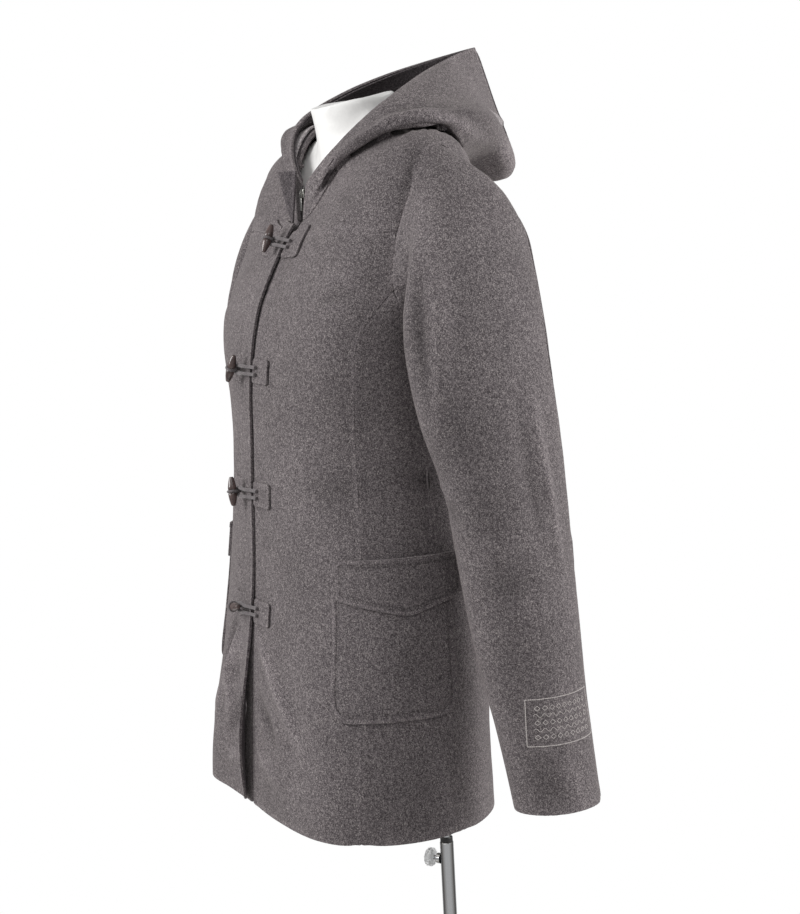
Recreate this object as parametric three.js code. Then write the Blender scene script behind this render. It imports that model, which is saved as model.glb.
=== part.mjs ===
import * as THREE from 'three';

// A hooded duffle coat of grey wool, worn by a white torso form on a telescopic stand.
// Millimetres, +Z up. The floor is z = 0, the pole is the z axis, the coat's front faces -Y
// and the wearer's left is +X. The coat's tables count y from the middle of its hem.

const POLE_BEHIND_HEM = 98;
const SEAM_GAP = 0.4;
const SLEEVE_GAP = 0.52;
const CLOTH = { coat: 3, lining: 1.6, tape: 1.2, patch: 2 };

// Rows of values under the names of their columns
function table(columns, rows) {
  return rows.map((row) => Object.fromEntries(columns.map((name, k) => [name, row[k]])));
}

// Coat body: one row for each level, front, side and back of a half-plane ring. round and roundBack
// are the powers of the sine and cosine in the front and back halves: 1 is an ellipse, less is squarer.
const RING_COLUMNS = ['wide', 'front', 'side', 'back', 'frontZ', 'sideZ', 'backZ', 'round', 'roundBack'];
const BODY = table(['level', ...RING_COLUMNS], [
  ['hem', 194, -136, 0, 117, 786, 782, 784, 0.72, 0.98],
  ['thigh', 192, -131, 0, 118, 860, 858, 859, 0.74, 0.98],
  ['hip', 189, -124, 2, 119, 950, 950, 950, 0.78, 0.97],
  ['flap', 181, -116, 5, 117, 1030, 1030, 1030, 0.82, 0.95],
  ['waist', 166, -111, 10, 108, 1120, 1120, 1120, 0.84, 0.92],
  ['high waist', 163, -108, 13, 107, 1180, 1180, 1180, 0.84, 0.9],
  ['rib', 170, -105, 16, 112, 1240, 1240, 1240, 0.84, 0.88],
  ['bust', 181, -94, 20, 119, 1300, 1298, 1298, 0.84, 0.86],
  ['armpit', 187, -80, 24, 123, 1335, 1338, 1345, 0.84, 0.86],
  ['mid armhole', 183, -66, 31, 123, 1362, 1405, 1396, 0.85, 0.87],
  ['shoulder tip', 171, -56, 37, 118, 1380, 1472, 1440, 0.88, 0.9],
  ['mid shoulder', 124, -46, 36, 108, 1392, 1489, 1468, 0.93, 0.94],
  ['neck seam', 73, -38, 34, 97, 1402, 1502, 1490, 0.97, 0.97],
]);
const LEVEL = Object.fromEntries(BODY.map((row, place) => [row.level, place]));

// Soft swells and folds of the coat body: half is +1 left, -1 right, 0 both. around is degrees from
// the centre front, wide degrees across, lean degrees round for each 100 mm up, deep mm outward.
const FOLDS = [
  { name: 'bust', half: 0, around: 44, lean: 0, low: 1190, high: 1392, wide: 22, deep: 11 },
  { name: 'armhole hollow', half: 0, around: 62, lean: 6, low: 1270, high: 1400, wide: 8, deep: -5 },
  { name: 'waist dip', half: 0, around: 70, lean: 0, low: 1020, high: 1260, wide: 16, deep: -3 },
  { name: 'front flare', half: 0, around: 42, lean: 0, low: 640, high: 1010, wide: 20, deep: 10 },
  { name: 'front drag', half: 1, around: 14, lean: -9, low: 770, high: 985, wide: 6, deep: 5 },
  { name: 'front drag trough', half: 1, around: 24, lean: -9, low: 770, high: 960, wide: 6, deep: -4 },
  { name: 'right front ridge', half: -1, around: 24, lean: -4, low: 640, high: 1010, wide: 9, deep: 9 },
  { name: 'right front trough', half: -1, around: 38, lean: -4, low: 770, high: 990, wide: 8, deep: -4 },
  { name: 'side flare', half: 0, around: 84, lean: 2, low: 640, high: 930, wide: 13, deep: 3 },
  { name: 'back flare inner', half: 1, around: 158, lean: -3, low: 640, high: 1080, wide: 10, deep: 3 },
  { name: 'back flare right', half: -1, around: 151, lean: -2, low: 640, high: 1060, wide: 11, deep: 6 },
  { name: 'back flare outer', half: 1, around: 128, lean: -3, low: 640, high: 1010, wide: 9, deep: 2 },
  { name: 'back waist hollow', half: 0, around: 180, lean: 0, low: 1030, high: 1250, wide: 24, deep: -6 },
  { name: 'blade', half: 0, around: 142, lean: 0, low: 1240, high: 1420, wide: 20, deep: 5 },
];

// Seam lines on the coat body, degrees round at each named place.
const FRONT_EDGE_X = 2.5;
const PRINCESS = { hem: 57, waist: 59, bust: 56 };
const SIDE_SEAM = { hem: 97, waist: 90 };
const YOKE_FRONT = { edgeZ: 1396, dipZ: 1389, levelZ: 1393 };
const YOKE_BACK_Z = 1392;

// Armhole: turn is degrees round the sleeve head, 0 at the shoulder tip and 90 at the front.
const ARMHOLE = [
  { place: 'tip', turn: 0, around: 90, level: 10.0 },
  { place: 'front upper', turn: 45, around: 74, level: 9.42 },
  { place: 'front', turn: 90, around: 66, level: 8.55 },
  { place: 'front notch', turn: 135, around: 71, level: 7.62 },
  { place: 'under', turn: 180, around: 90, level: 7.25 },
  { place: 'back notch', turn: 225, around: 109, level: 7.62 },
  { place: 'back', turn: 270, around: 115, level: 8.6 },
  { place: 'back upper', turn: 315, around: 107, level: 9.42 },
];
const ARMHOLE_ROW_TURN = 45;
const ARMHOLE_MIDDLE_LEVEL = 8.6;
const ARMHOLE_STEP = 15;
const PRINCESS_TURN = 120;
const UNDERARM_TURN = 180;
const YOKE_FRONT_TURN = 75;
const YOKE_BACK_TURN = 300;

// Grid cells of each piece
const CELLS = {
  front: 8, side: 4, back: 8, skirt: 14, yoke: 4, sleeve: 11, hood: 16, form: 28,
  pocketUp: 5, pocketAcross: 10, flapUp: 2, placketUp: 22, placketAcross: 3, zip: 18, zipTop: 3, patch: 3,
};

// Sleeve: a row for each ring below the armhole, tilt in degrees up at the outer side.
const SLEEVE = [
  { ring: 'head', x: 199, y: 48, z: 1374, thick: 68, wide: 62, tilt: 81 },
  { ring: 'cap', x: 213, y: 42, z: 1341, thick: 60, wide: 70, tilt: 67 },
  { ring: 'upper arm', x: 224, y: 37, z: 1298, thick: 50, wide: 77, tilt: 47 },
  { ring: 'biceps', x: 233, y: 38, z: 1243, thick: 46, wide: 74, tilt: 22 },
  { ring: 'above elbow', x: 239, y: 43, z: 1190, thick: 46, wide: 70, tilt: 9 },
  { ring: 'elbow', x: 244, y: 53, z: 1115, thick: 46, wide: 61, tilt: 4 },
  { ring: 'forearm', x: 251, y: 59, z: 1030, thick: 44, wide: 59, tilt: 3 },
  { ring: 'wrist', x: 260, y: 71, z: 920, thick: 40, wide: 50, tilt: 2 },
  { ring: 'cuff', x: 269, y: 82, z: 824, thick: 37, wide: 46, tilt: 2 },
];
const SLEEVE_FOLDS = [
  { name: 'elbow inside fold', turn: 96, along: 5.6, wide: 40, high: 0.35, deep: -4 },
  { name: 'elbow inside fold low', turn: 84, along: 6.5, wide: 36, high: 0.3, deep: -3 },
  { name: 'outer arm crease', turn: 20, along: 4.4, wide: 30, high: 1.1, deep: -3 },
  { name: 'back arm ridge', turn: 300, along: 5.6, wide: 22, high: 1.6, deep: 3 },
  { name: 'underarm fold', turn: 130, along: 3.1, wide: 24, high: 0.5, deep: -4 },
  { name: 'forearm fold', turn: 40, along: 7.2, wide: 40, high: 0.4, deep: -2 },
];

// Hood: its face edge, and where its laid-back crown hangs behind the neck. across is its half width.
const HOOD_FACE = {
  frontY: -33, frontZ: 1441, across: 85, sideY: 27, sideZ: 1523, backY: 182, backZ: 1580,
};
const HOOD_ROLL = {
  frontY: -39, frontZ: 1420, across: 146, sideY: 70, sideZ: 1508, backY: 222, backZ: 1466,
};
const HOOD_UNDER = {
  frontY: -40, frontZ: 1414, across: 148, sideY: 62, sideZ: 1496, backY: 210, backZ: 1440,
};
// Level of the coat that the hood's outer fold lies over, and how high it rolls above the yoke,
// from the centre front round to the back
const HOOD_FOLD = table(['left', 'right', 'roll'], [
  [12, 12, 14],
  [11.9, 11.9, 19],
  [11.4, 11.4, 21],
  [10.75, 11, 22],
  [10.55, 10.95, 24],
  [10.6, 10.8, 25],
  [10.6, 10.6, 22],
  [10.5, 10.5, 16],
  [10.3, 10.3, 16],
]);
// How the folded hood rests on the yoke: heights above it, and where round the neck it starts to
// fold and to hang. The last shares are of the way from the roll to the face edge.
const HOOD_REST = {
  neckAbove: 0.9, above: 3.2, underAbove: 8, rollOut: 0.12, restIn: 0.3, backLevel: 10.4,
  foldFrom: 0.05, foldTo: 0.5, hangFrom: 0.45, hangTo: 0.8,
  trough: 3, troughShare: 0.42, crown: 4, crownShare: 0.8, restShare: 0.75,
};
const HOOD_EDGE_X = 5.5;
const HOOD_ROWS = [0, 0.6, 1.25, 2, 2.6, 3.1, 3.6, 4.1, 5, 6, 7, 8];
const FACING_ROWS = [0, 0.6, 1.25];
const LINING_ROWS = [1.37, 2, 2.5, 6.2, 7, 8];
const LINING_GAP = 1;
const LINING_SLACK = 0.85;

// Patch pockets and flaps, degrees round and heights.
const POCKET_GAP = 0.55;
const POCKET = { from: 44, to: 97, topZ: 1062, lowZ: 906, corner: 0.14, cornerRise: 16 };
const FLAP = { from: 46.5, to: 102.5, topZ: 1067, endZ: 1027, pointZ: 1010, pointAt: 0.58 };

// Placket over the zip, on the right front. lift is how far its free edge stands off.
const PLACKET = { sewnX: -27, freeX: 1.3, low: 0.12, high: 11.45 };
const PLACKET_LIFT = [6, 13, 4, 0.5, 0.5, 0.4, 0.6, 1.5, 2, 1.5, 1.5, 3, 3].map((lift) => ({ lift }));
const PLACKET_TOP = {
  lowZ: 1401.6, highZ: 1455, seatX: -4, lowWide: 3, highWide: 25, widening: 0.8, out: 8, turnOut: 9,
  twist: 0.35, cellsUp: 3, cellsAcross: 2,
};

// Where the hood's front edges start: the zip and the placket's top follow them up
const THROAT = { y: -38, z: 1402 };
const ZIP = { inner: 1.4, outer: 15, hoodOuter: 4.8, lowLevel: 0.3, topZ: 1439, behind: 3.9 };
const SLIDER = { z: 1431, wide: 7, long: 10, deep: 4.2 };
const PULL = { wide: 4.4, long: 21, deep: 1.6, over: 3 };

// Toggles: level heights, and how the horn lies: swing turns it from upright toward the coat's side.
const TOGGLES = [
  { z: 1378, x: -14, swing: -8, hang: 0.2 },
  { z: 1251, x: -20, swing: 24, hang: 0 },
  { z: 1122, x: -20, swing: -10, hang: 0 },
  { z: 997, x: -20, swing: 80, hang: 0 },
];
const TOGGLE = { long: 31, thick: 9.4, neck: 7.2, out: 16.5 };
const TOGGLE_STATIONS = table(['at', 'radius'], [
  [-0.5, 0],
  [-0.47, 0.24],
  [-0.3, 0.44],
  [-0.1, 0.5],
  [0, TOGGLE.neck / TOGGLE.thick / 2],
  [0.1, 0.5],
  [0.3, 0.44],
  [0.47, 0.24],
  [0.5, 0],
]);
const PATCH = { left: [5, 40], right: [-55, -29.5], high: 25, above: 0.6 };
const LOOP = {
  thick: 3.2, apart: 3.7, sewnX: 17, seatOut: 4.6, bendX: 8, bendOut: 5.6, riseX: -2, rideOut: 9.9,
  past: 4.4, steps: 14,
};
const CORD = {
  thick: 3, sewnX: -40, seatOut: 4.3, coverX: -30, coverOut: 4.9, turnBefore: 3, underOut: 6, turnOut: 7.5,
  endOut: 12, steps: 8,
};
const CORD_SIDES = 6;
const TOGGLE_SIDES = 10;

// Torso form, its neck rows above the coat's neck level, and its stand.
const FORM = { lowLevel: 0.7, lowZ: 832, front: 10, side: 6.6, low: 10, rows: 15 };
const NECK = [
  { ring: 'base', wide: 54, front: -13, side: 36, back: 85, frontZ: 1440, sideZ: 1505, backZ: 1494 },
  { ring: 'middle', wide: 45.5, front: -9, side: 35, back: 80, frontZ: 1478, sideZ: 1514, backZ: 1512 },
  { ring: 'top', wide: 44, front: -14, side: 31, back: 76, frontZ: 1513, sideZ: 1523, backZ: 1532 },
  { ring: 'cut', wide: 40, front: -10.5, side: 31, back: 72.5, frontZ: 1518, sideZ: 1526.5, backZ: 1535 },
];
const STAND = {
  baseRadius: 160, baseThick: 14, hubRadius: 24, hubHigh: 26, rodRadius: 5.5, rodLow: 300,
  tubeRadius: 7.8, tubeBore: 6.2, tubeHigh: 690, gap: 0.3, sides: 20, baseSides: 40,
};
const SCREW = {
  z: 668, turn: 214, sides: 12,
  bossRadius: 6, bossLong: 5, boltRadius: 2.6, boltLong: 4, knobRadius: 10.5, knobLong: 9,
};

const COLOURS = {
  wool: '#656163', facing: '#4f4c4e', lining: '#8b8788', tape: '#2c2624', metal: '#b9bbbe', horn: '#4b3d3a',
  form: '#f1f0ee', chrome: '#d4d6d8', knob: '#e6e7e8', cord: '#454244',
};

const { degToRad, clamp, lerp, smoothstep } = THREE.MathUtils;

function finish(color, roughness, metalness = 0) {
  return new THREE.MeshStandardMaterial({ color, roughness, metalness });
}

const wool = finish(COLOURS.wool, 0.95);
const facingWool = finish(COLOURS.facing, 0.95);
const fleece = finish(COLOURS.lining, 1);
const tapeCloth = finish(COLOURS.tape, 0.8);
const loopCloth = finish(COLOURS.cord, 0.9);
const metal = finish(COLOURS.metal, 0.35, 1);
const horn = finish(COLOURS.horn, 0.4);
const shell = finish(COLOURS.form, 0.45);
const chrome = finish(COLOURS.chrome, 0.15, 1);
const clearPlastic = finish(COLOURS.knob, 0.3);

const product = new THREE.Group();
const dressed = new THREE.Group();
dressed.position.y = -POLE_BEHIND_HEM;
product.add(dressed);

// Smooth values between the rows of a table

function smoothBetween(before, from, to, after, t) {
  const a = 2 * from;
  const b = to - before;
  const c = 2 * before - 5 * from + 4 * to - after;
  const d = 3 * from - before - 3 * to + after;
  return 0.5 * (a + b * t + c * t * t + d * t * t * t);
}

function columnAt(rows, column, place) {
  const last = rows.length - 1;
  const from = clamp(Math.floor(place), 0, last - 1);
  const value = (k) => rows[clamp(k, 0, last)][column];
  return smoothBetween(value(from - 1), value(from), value(from + 1), value(from + 2), place - from);
}

function pointBetween(points, place) {
  const last = points.length - 1;
  const from = clamp(Math.floor(place), 0, last - 1);
  const at = (k) => points[clamp(k, 0, last)];
  const t = place - from;
  const around = [at(from - 1), at(from), at(from + 1), at(from + 2)];
  const axis = (name) => smoothBetween(...around.map((point) => point[name]), t);
  return new THREE.Vector3(axis('x'), axis('y'), axis('z'));
}

// Ring of a table's row: around is degrees from the centre front, plus to the wearer's left

function ringPoint(row, around) {
  const angle = degToRad(around);
  const isFront = Math.cos(angle) > 0;
  const power = isFront ? row.round : row.roundBack;
  const across = Math.sign(Math.sin(angle)) * Math.abs(Math.sin(angle)) ** power;
  const ahead = Math.abs(Math.cos(angle)) ** power;
  const far = isFront ? row.front : row.back;
  const farZ = isFront ? row.frontZ : row.backZ;
  return new THREE.Vector3(
    row.wide * across,
    row.side + (far - row.side) * ahead,
    lerp(farZ, row.sideZ, Math.sin(angle) ** 2),
  );
}

function levelRow(level) {
  return Object.fromEntries(RING_COLUMNS.map((name) => [name, columnAt(BODY, name, level)]));
}

const plainPoint = (around, level) => ringPoint(levelRow(level), around);

function normalOf(surface, a, b, stepA, stepB) {
  const alongA = surface(a + stepA, b).sub(surface(a - stepA, b));
  const alongB = surface(a, b + stepB).sub(surface(a, b - stepB));
  return alongA.cross(alongB).normalize();
}

function plainNormal(around, level) {
  return normalOf(plainPoint, around, clamp(level, 0.02, LEVEL['neck seam'] - 0.02), 0.5, 0.02);
}

function foldHeight(around, z) {
  let height = 0;
  for (const fold of FOLDS) {
    if (fold.half !== 0 && Math.sign(around) !== fold.half) continue;
    const middle = fold.around + (fold.lean * (z - (fold.low + fold.high) / 2)) / 100;
    const across = (Math.abs(around) - middle) / fold.wide;
    const up = clamp((z - fold.low) / (fold.high - fold.low), 0, 1);
    height += fold.deep * Math.exp(-across * across) * Math.sin(Math.PI * up) ** 2;
  }
  return height * smoothstep(Math.abs(around), 3, 12);
}

function coatPoint(around, level) {
  const point = plainPoint(around, level);
  return point.addScaledVector(plainNormal(around, level), foldHeight(around, point.z));
}

function coatNormal(around, level) {
  return normalOf(coatPoint, around, clamp(level, 0.04, LEVEL['neck seam'] - 0.04), 0.6, 0.03);
}

function levelAtZ(around, z) {
  let low = 0;
  let high = LEVEL['neck seam'];
  for (let turn = 0; turn < 40; turn += 1) {
    const middle = (low + high) / 2;
    if (plainPoint(around, middle).z < z) low = middle;
    else high = middle;
  }
  return (low + high) / 2;
}

function aroundAtX(x, level) {
  const row = levelRow(level);
  const sine = (Math.abs(x) / row.wide) ** (1 / row.round);
  return (Math.sign(x) * Math.asin(clamp(sine, 0, 1)) * 180) / Math.PI;
}

// Meshes: a wall has an outer and an inner grid of points, joined round the rim

function closedMesh(triangles) {
  const geometry = new THREE.BufferGeometry();
  const positions = new Float32Array(triangles.length * 9);
  let volume = 0;
  triangles.forEach((corners) => {
    volume += corners[0].dot(new THREE.Vector3().crossVectors(corners[1], corners[2]));
  });
  triangles.forEach((corners, index) => {
    const ordered = volume > 0 ? corners : [corners[0], corners[2], corners[1]];
    ordered.forEach((corner, k) => corner.toArray(positions, index * 9 + k * 3));
  });
  geometry.setAttribute('position', new THREE.BufferAttribute(positions, 3));
  geometry.computeVertexNormals();
  return geometry;
}

function quad(triangles, a, b, c, d) {
  triangles.push([a, b, c], [a, c, d]);
}

function wallGeometry(outer, inner) {
  const triangles = [];
  const rows = outer.length;
  const columns = outer[0].length;
  for (let j = 0; j + 1 < rows; j += 1) {
    for (let i = 0; i + 1 < columns; i += 1) {
      quad(triangles, outer[j][i], outer[j][i + 1], outer[j + 1][i + 1], outer[j + 1][i]);
      quad(triangles, inner[j][i], inner[j + 1][i], inner[j + 1][i + 1], inner[j][i + 1]);
    }
  }
  const rim = [];
  for (let i = 0; i < columns; i += 1) rim.push([0, i]);
  for (let j = 1; j < rows; j += 1) rim.push([j, columns - 1]);
  for (let i = columns - 2; i >= 0; i -= 1) rim.push([rows - 1, i]);
  for (let j = rows - 2; j > 0; j -= 1) rim.push([j, 0]);
  rim.forEach(([j, i], index) => {
    const [nextJ, nextI] = rim[(index + 1) % rim.length];
    quad(triangles, outer[j][i], inner[j][i], inner[nextJ][nextI], outer[nextJ][nextI]);
  });
  return closedMesh(triangles);
}

function grid(rows, columns, at) {
  const row = (j) => Array.from({ length: columns + 1 }, (_, i) => at(j, i));
  return Array.from({ length: rows + 1 }, (_, j) => row(j));
}

function insetEdges(points, amount, sides) {
  const rows = points.length;
  const columns = points[0].length;
  const moved = points.map((row) => row.map((point) => point.clone()));
  const pull = (j, i, towardJ, towardI) => {
    const step = points[towardJ][towardI].clone().sub(points[j][i]).setLength(amount);
    moved[j][i].add(step);
  };
  for (let i = 0; i < columns; i += 1) {
    if (sides.low) pull(0, i, 1, i);
    if (sides.high) pull(rows - 1, i, rows - 2, i);
  }
  for (let j = 0; j < rows; j += 1) {
    if (sides.start) pull(j, 0, j, 1);
    if (sides.end) pull(j, columns - 1, j, columns - 2);
  }
  return moved;
}

// Wall of a panel whose grid holds { point, normal }, its edges drawn in by half the seam gap
function panelWall(cells, thick, sides, above = 0) {
  const moved = ({ point, normal }, amount) => point.clone().addScaledVector(normal, amount);
  const shift = (amount) => cells.map((row) => row.map((cell) => moved(cell, amount)));
  const outer = insetEdges(shift(above + (above > 0 ? thick : 0)), SEAM_GAP / 2, sides);
  const inner = insetEdges(shift(above > 0 ? above : above - thick), SEAM_GAP / 2, sides);
  return wallGeometry(outer, inner);
}

function addPiece(name, geometry, material, parent = dressed) {
  const mesh = new THREE.Mesh(geometry, material);
  mesh.name = name;
  parent.add(mesh);
  return mesh;
}

const allSides = { low: true, high: true, start: true, end: true };
const halves = [{ side: 'left', sign: 1 }, { side: 'right', sign: -1 }];

// Seam lines as lists of places { around, level }, shared by the panels on both sides of a seam

function armholePlace(turn) {
  const place = (((turn % 360) + 360) % 360) / ARMHOLE_ROW_TURN;
  const from = Math.floor(place);
  const rowAt = (k) => ARMHOLE[(k + ARMHOLE.length) % ARMHOLE.length];
  const rows = [from - 1, from, from + 1, from + 2].map(rowAt);
  const value = (name) => smoothBetween(...rows.map((row) => row[name]), place - from);
  return { around: value('around'), level: value('level') };
}

function armholeLine(fromTurn, toTurn) {
  const steps = Math.round(Math.abs(toTurn - fromTurn) / ARMHOLE_STEP);
  return Array.from({ length: steps + 1 }, (_, k) => armholePlace(lerp(fromTurn, toTurn, k / steps)));
}

function skirtLine(aroundAt, topPlace) {
  return Array.from({ length: CELLS.skirt + 1 }, (_, k) => {
    const t = k / CELLS.skirt;
    const level = topPlace.level * t;
    return { around: lerp(aroundAt(level), topPlace.around, smoothstep(t, 0.87, 1)), level };
  });
}

const princessAt = (level) => (level < LEVEL.waist
  ? lerp(PRINCESS.hem, PRINCESS.waist, level / LEVEL.waist)
  : lerp(PRINCESS.waist, PRINCESS.bust, clamp((level - LEVEL.waist) / (LEVEL.bust - LEVEL.waist), 0, 1)));
const sideSeamAt = (level) => lerp(SIDE_SEAM.hem, SIDE_SEAM.waist, clamp(level / LEVEL.waist, 0, 1));

const princessLine = skirtLine(princessAt, armholePlace(PRINCESS_TURN));
const sideLine = skirtLine(sideSeamAt, armholePlace(UNDERARM_TURN));

function yokeFrontLine() {
  const end = armholePlace(YOKE_FRONT_TURN);
  const endZ = plainPoint(end.around, end.level).z;
  return Array.from({ length: CELLS.front + 1 }, (_, k) => {
    const t = k / CELLS.front;
    if (k === CELLS.front) return end;
    const startAround = aroundAtX(FRONT_EDGE_X, LEVEL['mid shoulder']);
    const around = lerp(startAround, end.around, t);
    const dip = lerp(YOKE_FRONT.edgeZ, YOKE_FRONT.dipZ, smoothstep(t, 0, 0.16));
    const level = lerp(dip, YOKE_FRONT.levelZ, smoothstep(t, 0.16, 0.45));
    return { around, level: levelAtZ(around, lerp(level, endZ, smoothstep(t, 0.5, 1))) };
  });
}

function yokeBackLine() {
  const start = armholePlace(YOKE_BACK_TURN);
  const startZ = plainPoint(start.around, start.level).z;
  return Array.from({ length: CELLS.back + 1 }, (_, k) => {
    const t = k / CELLS.back;
    if (k === 0) return start;
    const around = lerp(start.around, 180, t);
    return { around, level: levelAtZ(around, lerp(startZ, YOKE_BACK_Z, smoothstep(t, 0, 0.35))) };
  });
}

const frontSeam = yokeFrontLine();
const backSeam = yokeBackLine();

// Patch of places between four seam lines
function placesBetween(low, high, start, end) {
  const rows = start.length - 1;
  const columns = low.length - 1;
  return grid(rows, columns, (j, i) => {
    const u = i / columns;
    const w = j / rows;
    const place = {};
    for (const name of ['around', 'level']) {
      const corners = (1 - u) * (1 - w) * low[0][name] + u * (1 - w) * low[columns][name]
        + (1 - u) * w * high[0][name] + u * w * high[columns][name];
      const upward = (1 - w) * low[i][name] + w * high[i][name];
      const across = (1 - u) * start[j][name] + u * end[j][name];
      place[name] = upward + across - corners;
    }
    return place;
  });
}

const onCoat = (places, sign) => places.map((row) => row.map(({ around, level }) => ({
  point: coatPoint(sign * around, level),
  normal: coatNormal(sign * around, level),
})));

function hemLine(from, to, columns) {
  return Array.from({ length: columns + 1 }, (_, k) => {
    const around = lerp(from, to, k / columns);
    return { around, level: 0 };
  });
}

// Front panels, from the centre edge to the princess seam and the armhole
function frontPlaces() {
  const end = [...princessLine, ...armholeLine(PRINCESS_TURN, YOKE_FRONT_TURN).slice(1)];
  const top = frontSeam[0];
  const start = end.map((place, k) => {
    const past = clamp((k - CELLS.skirt) / (end.length - 1 - CELLS.skirt), 0, 1);
    const level = k <= CELLS.skirt ? place.level : lerp(princessLine[CELLS.skirt].level, top.level, past);
    return { around: aroundAtX(FRONT_EDGE_X, level), level };
  });
  const low = hemLine(start[0].around, end[0].around, CELLS.front);
  const high = [start[start.length - 1], ...frontSeam.slice(1)];
  return placesBetween(low, high, start, end);
}

function sidePlaces() {
  const low = hemLine(princessLine[0].around, sideLine[0].around, CELLS.side);
  return placesBetween(low, armholeLine(PRINCESS_TURN, UNDERARM_TURN), princessLine, sideLine);
}

function backPlaces() {
  const start = [...sideLine, ...armholeLine(UNDERARM_TURN, YOKE_BACK_TURN).slice(1)];
  const top = backSeam[backSeam.length - 1];
  const end = start.map((place, k) => {
    const past = (k - CELLS.skirt) / (start.length - 1 - CELLS.skirt);
    const level = k <= CELLS.skirt ? place.level : lerp(start[CELLS.skirt].level, top.level, past);
    return { around: 180, level };
  });
  const low = hemLine(start[0].around, 180, CELLS.back);
  return placesBetween(low, backSeam, start, end);
}

function yokePlaces() {
  const armhole = armholeLine(YOKE_FRONT_TURN, YOKE_BACK_TURN - 360);
  const outer = [...frontSeam, ...armhole.slice(1), ...backSeam.slice(1)];
  const columns = outer.length - 1;
  const neck = outer.map((_, k) => {
    const level = LEVEL['neck seam'];
    return { around: Math.max((180 * k) / columns, aroundAtX(FRONT_EDGE_X, level)), level };
  });
  return grid(CELLS.yoke, columns, (j, i) => ({
    around: lerp(outer[i].around, neck[i].around, j / CELLS.yoke),
    level: lerp(outer[i].level, neck[i].level, j / CELLS.yoke),
  }));
}

// A one-piece panel runs from the left half across the middle to the right half
function acrossMiddle(places) {
  const left = onCoat(places, 1);
  const right = onCoat(places, -1);
  return left.map((row, j) => [...row, ...right[j].slice(0, -1).reverse()]);
}

const sewnAllButHem = { high: true, start: true, end: true };
for (const { side, sign } of halves) {
  const front = panelWall(onCoat(frontPlaces(), sign), CLOTH.coat, { high: true, end: true });
  addPiece(`front_${side}`, front, wool);
  addPiece(`side_${side}`, panelWall(onCoat(sidePlaces(), sign), CLOTH.coat, sewnAllButHem), wool);
}
addPiece('back', panelWall(acrossMiddle(backPlaces()), CLOTH.coat, sewnAllButHem), wool);
addPiece('yoke', panelWall(acrossMiddle(yokePlaces()), CLOTH.coat, { low: true, high: true }), wool);

// Sleeves, lofted from the armhole through the table's rings

function sleeveRing(row, turn, sign) {
  const angle = degToRad(turn);
  const tilt = degToRad(row.tilt);
  const outward = row.thick * Math.cos(angle);
  return new THREE.Vector3(
    sign * (row.x + outward * Math.cos(tilt)),
    row.y - row.wide * Math.sin(angle),
    row.z + outward * Math.sin(tilt),
  );
}

function sleeveHead(turn, sign) {
  const { around, level } = armholePlace(turn);
  const point = coatPoint(sign * around, level);
  const next = armholePlace(turn + 2);
  const along = coatPoint(sign * next.around, next.level).sub(point).normalize();
  const normal = coatNormal(sign * around, level);
  const intoOpening = along.cross(normal).normalize();
  const middle = coatPoint(sign * 90, ARMHOLE_MIDDLE_LEVEL);
  if (intoOpening.dot(middle.clone().sub(point)) < 0) intoOpening.negate();
  return point.addScaledVector(normal.add(intoOpening).normalize(), SLEEVE_GAP);
}

function sleevePoint(turn, along, sign) {
  const points = [sleeveHead(turn, sign), ...SLEEVE.map((row) => sleeveRing(row, turn, sign))];
  return pointBetween(points, along);
}

function sleeveFold(turn, along) {
  let height = 0;
  for (const fold of SLEEVE_FOLDS) {
    const off = THREE.MathUtils.euclideanModulo(turn - fold.turn + 180, 360) - 180;
    const up = (along - fold.along) / fold.high;
    height += fold.deep * Math.exp(-((off / fold.wide) ** 2)) * Math.exp(-up * up);
  }
  return height * smoothstep(along, 0.6, 2);
}

function sleeveCells(fromTurn, toTurn, sign) {
  const columns = Math.round((toTurn - fromTurn) / ARMHOLE_STEP);
  const surface = (turn, along) => sleevePoint(turn, along, sign);
  return grid(CELLS.sleeve, columns, (j, i) => {
    const turn = lerp(fromTurn, toTurn, i / columns);
    const along = (SLEEVE.length * j) / CELLS.sleeve;
    const near = clamp(along, 0.06, SLEEVE.length - 0.02);
    const normal = normalOf(surface, turn, near, 2, 0.02);
    const ring = surface(turn, along);
    const centre = surface(turn + 180, along).add(ring).multiplyScalar(0.5);
    if (normal.dot(ring.clone().sub(centre)) < 0) normal.negate();
    return { point: ring.addScaledVector(normal, sleeveFold(turn, along)), normal };
  });
}

for (const { side, sign } of halves) {
  const seams = { start: true, end: true };
  const upper = sleeveCells(YOKE_BACK_TURN - 360, PRINCESS_TURN, sign);
  const under = sleeveCells(PRINCESS_TURN, YOKE_BACK_TURN, sign);
  addPiece(`sleeve_${side}_upper`, panelWall(upper, CLOTH.coat, seams), wool);
  addPiece(`sleeve_${side}_under`, panelWall(under, CLOTH.coat, seams), wool);
}

// Hood: two halves sewn along the middle, laid back and resting on the yoke

function hoodRing(row, t, sign) {
  const shares = [(1 - t) * (1 - 2 * t), 4 * t * (1 - t), t * (2 * t - 1)];
  const through = (...values) => values.reduce((sum, value, k) => sum + value * shares[k], 0);
  return new THREE.Vector3(
    sign * (row.across * Math.sin(Math.PI * t) + HOOD_EDGE_X * (1 - t)),
    through(row.frontY, row.sideY, row.backY),
    through(row.frontZ, row.sideZ, row.backZ),
  );
}

function hoodOnYoke(t, level, above, sign) {
  const around = sign * Math.max(180 * t, aroundAtX(HOOD_EDGE_X, level));
  return coatPoint(around, level).addScaledVector(coatNormal(around, level), above);
}

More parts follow.
